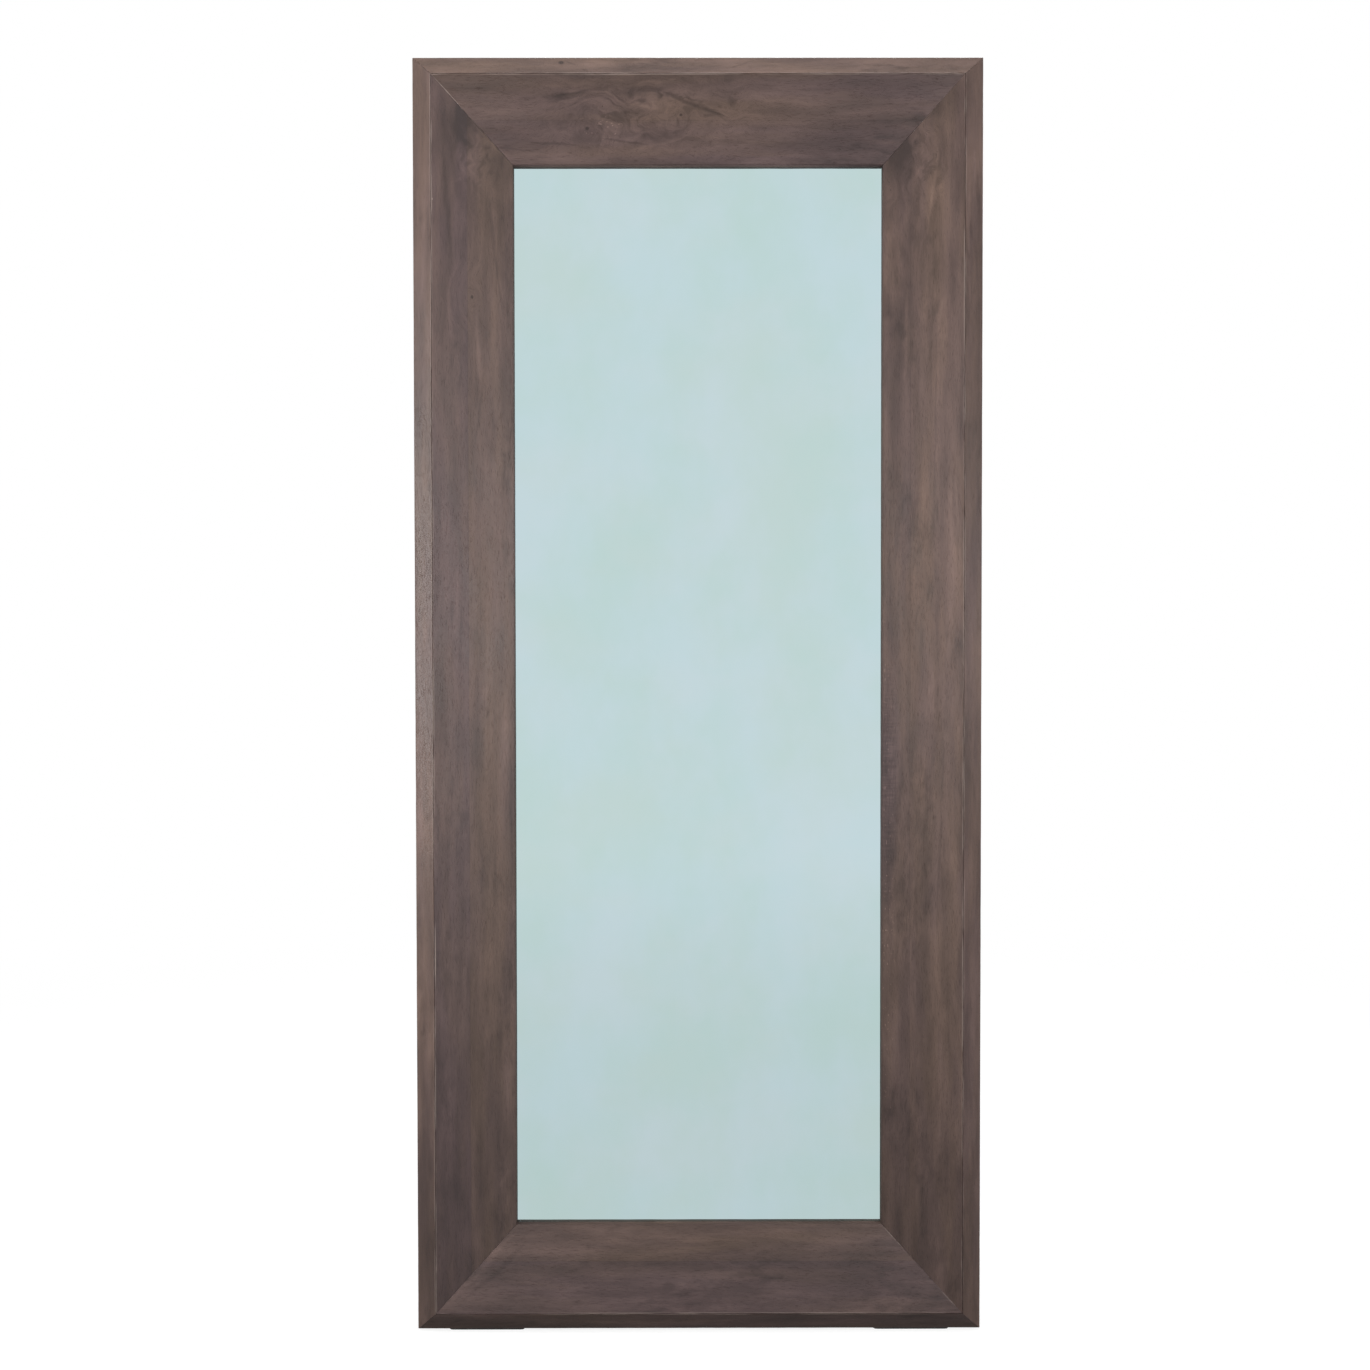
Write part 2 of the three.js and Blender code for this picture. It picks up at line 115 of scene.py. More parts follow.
class Graph:
    """The node tree of a material or world. Each method adds nodes and returns the socket to go on from."""

    def __init__(self, owner):
        owner.use_nodes = True
        self.owner = owner
        self.tree = owner.node_tree
        self.tree.nodes.clear()

    def node(self, kind, inputs=(), **settings):
        made = self.tree.nodes.new("ShaderNode" + kind)
        for key, value in settings.items():
            setattr(made, key, value)
        for socket, value in dict(inputs).items():
            self.put(made.inputs[socket], value)
        return made

    def put(self, socket, value):
        if isinstance(value, bpy.types.NodeSocket):
            self.tree.links.new(value, socket)
        elif value is not None:
            socket.default_value = value

    def place(self):
        return self.node("TexCoord").outputs["Object"]

    def math(self, operation, a, b=None, c=None):
        made = self.node("Math", operation=operation)
        for socket, value in zip(made.inputs, (a, b, c)):
            self.put(socket, value)
        return made.outputs[0]

    def add(self, a, b):
        return self.math("ADD", a, b)

    def subtract(self, a, b):
        return self.math("SUBTRACT", a, b)

    def times(self, a, b):
        return self.math("MULTIPLY", a, b)

    def mul_add(self, a, b, c):
        return self.math("MULTIPLY_ADD", a, b, c)

    def highest(self, a, b):
        return self.math("MAXIMUM", a, b)

    def clamped(self, value):
        return self.math("MINIMUM", self.highest(value, 0.0), 1.0)

    def hypotenuse(self, a, b):
        return self.math("SQRT", self.mul_add(a, a, self.times(b, b)))

    def vary(self, layer, weight, base):
        """Base, moved up and down by a layer of noise of about 0 to 1."""
        return self.mul_add(self.add(layer, -0.5), weight, base)

    def vector(self, operation, a, b=None):
        made = self.node("VectorMath", operation=operation)
        self.put(made.inputs[0], a)
        self.put(made.inputs[1], b)
        return made.outputs["Value" if operation in ("LENGTH", "DISTANCE", "DOT_PRODUCT") else "Vector"]

    def scaled(self, vector, factor):
        return self.node("VectorMath", {0: vector, "Scale": factor}, operation="SCALE").outputs["Vector"]

    def combine(self, x, y, z):
        return self.node("CombineXYZ", {"X": x, "Y": y, "Z": z}).outputs[0]

    def separate(self, vector):
        return self.node("SeparateXYZ", {"Vector": vector}).outputs

    def noise(self, vector, size, detail=2.0, rough=0.5, out="Fac"):
        """Noise of about 0 to 1. Size is the length in metres of one wave along each axis."""
        divided = self.vector("DIVIDE", vector, size)
        made = self.node("TexNoise", {"Vector": divided, "Scale": 1.0, "Detail": detail, "Roughness": rough})
        return made.outputs[out]

    def cells(self, vector, size, out="Distance"):
        divided = self.vector("DIVIDE", vector, size)
        return self.node("TexVoronoi", {"Vector": divided, "Scale": 1.0}).outputs[out]

    def wander(self, vector, size, reach, detail, rough):
        """An offset that wanders by about this reach, in waves of this size."""
        cloud = self.noise(vector, size, detail, rough, "Color")
        return self.vector("MULTIPLY", self.vector("SUBTRACT", cloud, (0.5, 0.5, 0.5)), reach)

    def span(self, value, low, high, to_low=0.0, to_high=1.0):
        """Smoothly maps low..high to to_low..to_high, held at both ends."""
        inputs = {"Value": value, "From Min": low, "From Max": high, "To Min": to_low, "To Max": to_high}
        return self.node("MapRange", inputs, interpolation_type="SMOOTHSTEP").outputs[0]

    def ramp(self, value, stops):
        made = self.node("ValToRGB", {"Fac": value})
        elements = made.color_ramp.elements
        elements[0].position, elements[0].color = stops[0][0], (*stops[0][1], 1)
        elements[1].position, elements[1].color = stops[-1][0], (*stops[-1][1], 1)
        for position, color in stops[1:-1]:
            elements.new(position).color = (*color, 1)
        return made.outputs["Color"]

    def blend(self, factor, a, b, kind="MIX"):
        made = self.node("Mix", data_type="RGBA", blend_type=kind)
        self.put(made.inputs["Factor"], factor)
        self.put(made.inputs["A"], a)
        self.put(made.inputs["B"], b)
        return made.outputs["Result"]

    def mix_shaders(self, factor, a, b):
        return self.node("MixShader", {"Fac": factor, 1: a, 2: b}).outputs[0]

    def bump(self, height, distance, strength):
        return self.node("Bump", {"Height": height, "Distance": distance, "Strength": strength}).outputs[0]

    def finish(self, **sockets):
        """Ends a material in a Principled shader with these sockets."""
        named = {key.replace("_", " ").title().replace("Ior", "IOR"): value for key, value in sockets.items()}
        shader = self.node("BsdfPrincipled", named)
        self.node("OutputMaterial", {"Surface": shader.outputs[0]})
        return self.owner


def new_graph(name):
    return Graph(bpy.data.materials.new(name))


def srgb(r, g, b):
    """Linear colour of 0 to 255 display values."""
    def one(value):
        value /= 255
        return value / 12.92 if value <= 0.04045 else ((value + 0.055) / 1.055) ** 2.4
    return one(r), one(g), one(b)


# ======== Wood ========

# Ramps from the darkest streaks to the lightest, for the stained timber's purple-brown and olive zones and for
# raw timber, and the colour where the stain is worn off
PURPLE = [
    (0.0, srgb(57, 47, 46)), (0.35, srgb(81, 66, 65)), (0.65, srgb(103, 85, 83)), (1.0, srgb(132, 110, 107)),
]
OLIVE = [
    (0.0, srgb(61, 49, 44)), (0.35, srgb(86, 70, 62)), (0.65, srgb(109, 89, 79)), (1.0, srgb(139, 114, 102)),
]
RAW = [
    (0.0, srgb(96, 76, 60)), (0.4, srgb(132, 108, 88)), (0.7, srgb(155, 130, 106)), (1.0, srgb(182, 158, 132)),
]
WORN = srgb(158, 142, 134)


class Side:
    """One side of the frame.

    to_frame turns its own (u, depth, s) into the frame's coordinates. from_frame gives u and s, each as the
    factors of x and z and a constant. board_slope is how far along a board's mitre runs per unit across.
    """

    def __init__(self, name, kind, to_frame, from_frame):
        self.name, self.kind = name, kind
        self.to_frame, self.from_frame = to_frame, from_frame
        self.length = HEIGHT if kind == "stile" else WIDTH
        self.face, next_face = (STILE_FACE, RAIL_FACE) if kind == "stile" else (RAIL_FACE, STILE_FACE)
        self.board_slope = next_face / self.face


HALF = WIDTH / 2
SIDES = [
    Side("left", "stile", lambda u, d, s: (u - HALF, d + RIDGE_Y, s + FOOT), ((1, 0, HALF), (0, 1, -FOOT))),
    Side("right", "stile", lambda u, d, s: (HALF - u, d + RIDGE_Y, s + FOOT), ((-1, 0, HALF), (0, 1, -FOOT))),
    Side("bottom", "rail", lambda u, d, s: (s - HALF, d + RIDGE_Y, u + FOOT), ((0, 1, -FOOT), (1, 0, HALF))),
    Side("top", "rail", lambda u, d, s: (s - HALF, d + RIDGE_Y, TOP - u), ((0, -1, TOP), (1, 0, HALF))),
]


def member_space(graph, side, seed):
    """A member's sockets u, depth and s, its own place in the noise, and that place with wandering grain."""
    x, y, z = graph.separate(graph.place())
    u, s = (
        graph.mul_add(x if factor_x else z, float(factor_x or factor_z), constant)
        for factor_x, factor_z, constant in side.from_frame
    )
    depth = graph.add(y, -RIDGE_Y)
    origin = graph.vector("ADD", graph.combine(u, depth, s), (seed * 3.17, seed * 1.31, seed * 7.73))
    drift = graph.wander(origin, (0.11, 0.11, 0.42), (0.036, 0.036, 0.09), 3.0, 0.55)
    return u, depth, s, origin, graph.vector("ADD", origin, drift)


def blob(graph, u, s, spot):
    """A soft oval patch: 1 in its middle and 0 outside. A spot is (u, s, half width, half length)."""
    across = graph.mul_add(u, 1 / spot[2], -spot[0] / spot[2])
    along = graph.mul_add(s, 1 / spot[3], -spot[1] / spot[3])
    return graph.span(graph.hypotenuse(across, along), 0.0, 1.0, 1.0, 0.0)


def vein(graph, u, s, line):
    """A soft line between two points, thickest in its middle. A line is (u, s, end u, end s, half width)."""
    start, end = Vector((line[0], line[1], 0)), Vector((line[2], line[3], 0))
    reach = end - start
    offset = graph.vector("SUBTRACT", graph.combine(u, s, 0.0), start)
    along = graph.times(graph.vector("DOT_PRODUCT", offset, reach), 1 / reach.length_squared)
    along = graph.clamped(along)
    distance = graph.vector("DISTANCE", offset, graph.scaled(reach, along))
    taper = graph.times(graph.times(along, graph.subtract(1.0, along)), 4.0)
    width = graph.mul_add(taper, line[4] * 0.6, line[4] * 0.4)
    soft = graph.span(graph.math("DIVIDE", distance, width), 0.0, 1.0, 1.0, 0.0)
    return graph.times(soft, graph.math("SQRT", taper))


def grain_round_knots(graph, u, s, warped, knots):
    """The grain pushed aside by each knot, and a socket that is 1 in their eyes, or None without knots."""
    eyes = None
    for knot_u, knot_s, radius, reach in knots:
        across = graph.add(u, -knot_u)
        along = graph.mul_add(s, 0.7, -knot_s * 0.7)
        distance = graph.hypotenuse(across, along)
        ring = graph.span(distance, reach * 0.15, reach, 1.0, 0.0)
        push = graph.times(graph.subtract(distance, across), ring)
        warped = graph.vector("ADD", warped, graph.combine(push, 0.0, 0.0))
        eye = blob(graph, u, s, (knot_u, knot_s, radius, radius * 1.25))
        eyes = eye if eyes is None else graph.highest(eyes, eye)
    return warped, eyes


def rubbed_thin(graph, side, kind, u, depth, s, origin, rubs):
    """How far the stain is rubbed off: on the arrises, beside the mitres and along the lines in rubs."""
    patchy = graph.noise(origin, (0.006, 0.006, 0.06), 3.0, 0.65)
    broken = graph.noise(origin, (0.03, 0.03, 0.16), 2.0, 0.5)
    ridge_u, ridge_width = (BAND + 0.0012, 0.0017) if kind == "board" else (BAND - 0.0006, 0.0012)
    ridge = blob(graph, u, s, (ridge_u, 0.0, ridge_width, ENDLESS))
    rubbed = graph.times(ridge, graph.span(graph.add(patchy, broken), 0.88, 1.16, 0.0, 0.50))
    if kind == "moulding":
        arris = blob(graph, u, depth, (0.0, CHAMFER, 0.0022, 0.0022))
        rubbed = graph.highest(rubbed, graph.times(arris, graph.span(patchy, 0.54, 0.74, 0.0, 0.40)))
    for line, strength in rubs:
        worn = graph.times(vein(graph, u, s, line), graph.span(patchy, 0.34, 0.56, 0.25 * strength, strength))
        rubbed = graph.highest(rubbed, worn)
    mitre = graph.mul_add(graph.add(u, -BAND), side.board_slope if kind == "board" else 1.0, BAND)
    for from_end in (s, graph.subtract(side.length, s)):
        close = graph.span(graph.subtract(from_end, mitre), 0.0004, 0.0018, 1.0, 0.0)
        rubbed = graph.highest(rubbed, graph.times(close, graph.span(patchy, 0.52, 0.72, 0.0, 0.35)))
    return rubbed


def wood_material(side, kind, seed, base=0.5, hue_base=0.5, gloss=0.18, lip_painted_light=0.08, staves=None, tones=(),
                  hues=(), veins=(), rubs=(), knots=(), burl=None, ripple=None, flecks=None):
    """Stained hardwood for one member, a moulding or a board.

    base is its mean tone, hue_base its place between purple and olive, and gloss the specular level of its
    wax. The lip step is a tone step of painted light on the lip at the glass, and staves is (u of the glue line,
    tone step, hue step) for a board glued from two. tones and hues are patches (spot, amount), and some tone
    patches are painted light and painted shade, marked where they are listed. veins are streaks (line, amount),
    and rubs are (line, strength) where the stain is worn off. knots are (u, s, radius, reach of the rings round
    it), and burl, ripple and flecks are spots of wild figure.
    """
    graph = new_graph(f"wood_{side.name}_{kind}")
    u, depth, s, origin, warped = member_space(graph, side, seed)

    # The grain swirls in the burl and runs round each knot.
    if burl:
        swirl = graph.wander(origin, (0.050, 0.050, 0.060), (0.085, 0.085, 0.12), 2.0, 0.5)
        swirl = graph.scaled(swirl, graph.math("SQRT", blob(graph, u, s, burl)))
        warped = graph.vector("ADD", warped, swirl)
    warped, eyes = grain_round_knots(graph, u, s, warped, knots)

    # Figure, from broad bands to fine fibres
    bands = graph.noise(warped, (0.050, 0.050, 0.80), 2.0, 0.5)
    streaks = graph.noise(warped, (0.017, 0.017, 0.21), 2.6, 0.5)
    lines = graph.noise(warped, (0.0042, 0.0042, 0.060), 3.0, 0.6)
    fibres = graph.noise(warped, (0.0009, 0.0009, 0.022), 2.0, 0.6)
    blotches = graph.noise(origin, (0.028, 0.028, 0.11), 4.0, 0.55)
    tone = base
    for layer, weight in ((bands, 0.42), (streaks, 0.50), (lines, 0.19), (fibres, 0.16), (blotches, 0.62)):
        tone = graph.vary(layer, weight, tone)

    # Wisps of darker curl in some places, cross ripple, patches, streaks and light flecks
    wild = graph.span(graph.noise(origin, (0.07, 0.07, 0.17), 1.0, 0.5), 0.46, 0.64, 0.0, 0.7)
    if burl:
        wild = graph.highest(wild, graph.times(blob(graph, u, s, burl), 1.3))
    wisps = graph.noise(warped, (0.013, 0.013, 0.032), 3.0, 0.5)
    tone = graph.mul_add(graph.times(wild, graph.span(wisps, 0.50, 0.68)), -0.19, tone)
    tone = graph.mul_add(graph.times(wild, graph.span(wisps, 0.32, 0.48, 1.0, 0.0)), 0.11, tone)
    if ripple:
        wave = graph.noise(origin, (0.022, 0.022, 0.0042), 2.0, 0.5)
        tone = graph.vary(wave, graph.times(blob(graph, u, s, ripple), 0.62), tone)
    shifted_u, shifted_s = graph.vary(streaks, 0.014, u), graph.vary(blotches, 0.06, s)
    for spot, amount in tones:
        tone = graph.mul_add(blob(graph, shifted_u, shifted_s, spot), amount, tone)
    wavy_u, wavy_s = graph.vary(wisps, 0.009, u), graph.vary(blotches, 0.02, s)
    for line, amount in veins:
        tone = graph.mul_add(vein(graph, wavy_u, wavy_s, line), amount, tone)
    if flecks:
        dots = graph.span(graph.noise(origin, (0.0026, 0.0026, 0.0055), 1.0, 0.5), 0.66, 0.74)
        tone = graph.mul_add(graph.times(dots, blob(graph, u, s, flecks)), 0.50, tone)

    hue = graph.noise(origin, (0.040, 0.040, 0.30), 3.0, 0.55)
    hue = graph.span(hue, 0.36, 0.64, hue_base - 0.22, hue_base + 0.22)
    for spot, amount in hues:
        hue = graph.mul_add(blob(graph, shifted_u, shifted_s, spot), amount, hue)
    if staves:
        glue_u, tone_step, hue_step = staves
        second = graph.span(u, glue_u - 0.0010, glue_u + 0.0010)
        tone = graph.mul_add(second, tone_step, tone)
        hue = graph.mul_add(second, hue_step, hue)
        tone = graph.mul_add(blob(graph, u, s, (glue_u, 0.0, 0.0009, ENDLESS)), -0.08, tone)
    pores = graph.noise(warped, (0.0007, 0.0007, 0.012), 1.0, 0.4)
    pits = graph.span(pores, 0.61, 0.70)
    tone = graph.mul_add(pits, -0.14, tone)
    if kind == "board":
        # Painted shade darkens the face along its inner edge, and the lip behind it is dull and lifted by a tone
        # step of painted light.
        inner_edge_shade = blob(graph, u, s, (BAND + side.face, 0.0, 0.0040, ENDLESS))
        lip = graph.span(depth, FACE_DROP + 0.0006, FACE_DROP + 0.0024)
        tone = graph.mul_add(inner_edge_shade, -0.06, graph.mul_add(lip, lip_painted_light, tone))
    if eyes is not None:
        tone = graph.mul_add(eyes, -0.75, tone)

    rubbed = rubbed_thin(graph, side, kind, u, depth, s, origin, rubs)
    stained = graph.blend(graph.clamped(hue), graph.ramp(tone, PURPLE), graph.ramp(tone, OLIVE))
    rough = graph.vary(blotches, 0.20, 0.37)
    rough = graph.mul_add(pits, 0.15, graph.mul_add(rubbed, 0.1, rough))
    if kind == "board":
        rough = graph.mul_add(lip, 0.45, rough)
    relief = graph.mul_add(lines, 0.35, graph.mul_add(fibres, 0.3, graph.times(pits, -0.9)))
    relief = graph.mul_add(streaks, 0.5, relief)
    return graph.finish(
        base_color=graph.blend(rubbed, stained, (*WORN, 1)),
        roughness=rough,
        normal=graph.bump(relief, 0.00022, 0.7),
        specular_ior_level=gloss,
    )


def raw_wood_material(side, kind, seed):
    """The unstained back of a member, band sawn and a little dusty."""
    graph = new_graph(f"raw_{side.name}_{kind}")
    _, _, _, origin, warped = member_space(graph, side, seed)
    bands = graph.noise(warped, (0.05, 0.05, 0.9), 2.0, 0.5)
    streaks = graph.noise(warped, (0.012, 0.012, 0.26), 4.0, 0.6)
    fibres = graph.noise(warped, (0.0012, 0.0012, 0.03), 3.0, 0.6)
    saw = graph.noise(origin, (0.08, 0.08, 0.0032), 2.0, 0.5)
    tone = 0.42
    for layer, weight in ((bands, 0.7), (streaks, 0.8), (fibres, 0.40), (saw, 0.05)):
        tone = graph.vary(layer, weight, tone)
    return graph.finish(
        base_color=graph.ramp(tone, RAW),
        roughness=graph.mul_add(fibres, 0.2, 0.68),
        normal=graph.bump(graph.mul_add(saw, 0.35, graph.times(fibres, 0.6)), 0.0004, 0.8),
        specular_ior_level=0.3,
    )


# ======== Meshes ========

def new_object(name, mesh_data, materials):
    made = bpy.data.objects.new(name, mesh_data)
    bpy.context.scene.collection.objects.link(made)
    for material in materials:
        mesh_data.materials.append(material)
    return made


def stand_in(made, node, body):
    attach(made, body)
    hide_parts(node)


def end_mesh(built, mesh_data, degrees):
    """Writes a bmesh with smooth shading, where edges sharper than this angle stay sharp."""
    built.normal_update()
    for face in built.faces:
        face.smooth = True
    for edge in built.edges:
        edge.smooth = not edge.is_manifold or edge.calc_face_angle(0) < math.radians(degrees)
    built.to_mesh(mesh_data)
    built.free()


def end_piece(built, node, suffix, materials, degrees, body):
    """Ends a bmesh as the piece that stands for a node."""
    mesh_data = bpy.data.meshes.new(node)
    end_mesh(built, mesh_data, degrees)
    stand_in(new_object(node + suffix, mesh_data, materials), node, body)


def join_rings(built, a, b):
    """Faces between two rings of as many points, or between a ring and the one point of a pole."""
    count = max(len(a), len(b))
    made = []
    for i in range(count):
        k = (i + 1) % count
        if len(a) == 1:
            made.append(built.faces.new((a[0], b[i], b[k])))
        elif len(b) == 1:
            made.append(built.faces.new((a[i], a[k], b[0])))
        else:
            made.append(built.faces.new((a[i], a[k], b[k], b[i])))
    return made


def soft_section(corners):
    """A closed section through (u, depth, softening) corners as a list of (u, depth, hardness).

    Hardness is 1 on the rounding of a corner and 0 elsewhere. Wide sides get points along them.
    """
    runs = []
    for i, (u, d, soft) in enumerate(corners):
        corner = Vector((u, d))
        before = Vector(corners[i - 1][:2])
        after = Vector(corners[(i + 1) % len(corners)][:2])
        entry = corner + (before - corner).normalized() * soft
        leave = corner + (after - corner).normalized() * soft
        runs.append((corner, entry, leave, soft))
    points = []
    for i, (corner, entry, leave, soft) in enumerate(runs):
        if soft:
            for k in range(ROUND_STEPS + 1):
                t = k / ROUND_STEPS
                p = entry.lerp(corner, t).lerp(corner.lerp(leave, t), t)
                points.append((p.x, p.y, 1.0))
        else:
            points.append((corner.x, corner.y, 0.0))
        to_next = runs[(i + 1) % len(runs)][1] - leave
        if to_next.length > 3 * SUPPORT:
            inner = to_next.length - 2 * SUPPORT
            pieces = max(1, round(inner / FACE_STEP))
            for k in range(pieces + 1):
                p = leave + to_next.normalized() * (SUPPORT + inner * k / pieces)
                points.append((p.x, p.y, 0.0))
    return points


def member_mesh(side, section, inset, is_back, seed):
    """Sweeps a section along one side between its mitres. inset(u) is where the mitre crosses it.

    The surface is planed by hand: it rolls by a tenth of a millimetre, and its long edges are worn a little.
    Everything moves inward only, so the member stays inside its solid.
    """
    middle_u = sum(p[0] for p in section) / len(section)
    middle_d = sum(p[1] for p in section) / len(section)
    built = bmesh.new()
    stations = max(2, round(side.length / STATION))
    rings = []
    for j in range(stations + 1):
        ring = []
        for u, d, hard in section:
            start = inset(u) + CUTBACK
            s = start + (side.length - 2 * start) * j / stations
            toward = Vector((middle_u - u, middle_d - d)).normalized()
            roll = ROLL * (1 + noise.noise(Vector((u * 14 + seed, d * 14, s * 7))))
            wear = hard * WEAR * max(0.0, noise.noise(Vector((u * 40, seed * 3.1, s * 34))) + 0.15)
            move = toward * (roll + wear)
            ring.append(built.verts.new(side.to_frame(u + move.x, d + move.y, s)))
        rings.append(ring)
    for a, b in zip(rings, rings[1:]):
        for i, face in enumerate(join_rings(built, a, b)):
            face.material_index = int(is_back(section[i], section[(i + 1) % len(section)]))
    built.faces.new(rings[0])
    built.faces.new(list(reversed(rings[-1])))
    bmesh.ops.recalc_face_normals(built, faces=built.faces)
    return built


def build_moulding(side, materials, seed):
    section = soft_section([
        (0.0, CHAMFER, OUTER_SOFT),
        (BAND, 0.0, RIDGE_SOFT),
        (BAND, BACK_DEPTH, BACK_SOFT),
        (0.0, BACK_DEPTH, BACK_SOFT),
    ])

    def is_back(a, b):
        depth = min(a[1], b[1])
        faces_board = min(a[0], b[0]) > BAND - FLUSH and depth > STAIN_REACH
        return depth > BACK_DEPTH - FLUSH or faces_board

    built = member_mesh(side, section, lambda u: u, is_back, seed)
    end_piece(built, f"{side.name}_edge_moulding", "_fine", materials, 28, "frame")


def build_board(side, materials, seed):
    sight = BAND + side.face
    section = soft_section([
        (BAND + SEAM, 0.0, RIDGE_SOFT),
        (sight, FACE_DROP, SIGHT_SOFT),
        (sight, GLASS_DEPTH, 0.0),
        (sight - REBATE, GLASS_DEPTH, 0.0),
        (sight - REBATE, BOARD_BACK, 0.0),
        (BAND + SEAM, BOARD_BACK, 0.0),
    ])

    def inset(u):
        return BAND + (u - BAND) * side.board_slope

    def is_back(a, b):
        return min(a[1], b[1]) > GLASS_DEPTH - FLUSH

    built = member_mesh(side, section, inset, is_back, seed)
    end_piece(built, f"{side.name}_{side.kind}_board", "_fine", materials, 28, "frame")


def eased_copy(node, suffix, body, materials, width, angle=35, joined=True):
    """A copy of a node with its hard edges rounded a little, and its flat faces joined if they can be."""
    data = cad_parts[node].data.copy()
    data.name = node
    data.materials.clear()
    made = new_object(node + suffix, data, materials)
    built = bmesh.new()
    built.from_mesh(data)
    bmesh.ops.remove_doubles(built, verts=built.verts, dist=1e-6)
    if joined:
        bmesh.ops.dissolve_limit(built, angle_limit=math.radians(1), verts=built.verts, edges=built.edges)
    limit = math.radians(angle)
    hard = [edge for edge in built.edges if edge.is_manifold and edge.calc_face_angle(0) > limit]
    bmesh.ops.bevel(built, geom=hard, offset=width, segments=2, profile=0.7, affect="EDGES",
                    clamp_overlap=True)
    bmesh.ops.triangulate(built, faces=[face for face in built.faces if len(face.verts) > 4])
    end_mesh(built, data, 40)
    made.modifiers.new("flat_faces_stay_flat", "WEIGHTED_NORMAL").keep_sharp = True
    stand_in(made, node, body)
    return made


def lathe(profile, sides, place):
    """A closed turned mesh.

    The profile is (radius, height) from axis to axis, and place(x, y, height) gives the frame's coordinates.
    """
    built = bmesh.new()
    rings = []
    for radius, height in profile:
        turns = [2 * math.pi * i / sides for i in range(sides)] if radius else [0.0]
        rings.append([
            built.verts.new(place(radius * math.cos(turn), radius * math.sin(turn), height)) for turn in turns
        ])
    for a, b in zip(rings, rings[1:]):
        join_rings(built, a, b)
    bmesh.ops.recalc_face_normals(built, faces=built.faces)
    return built


# ======== The wooden members ========

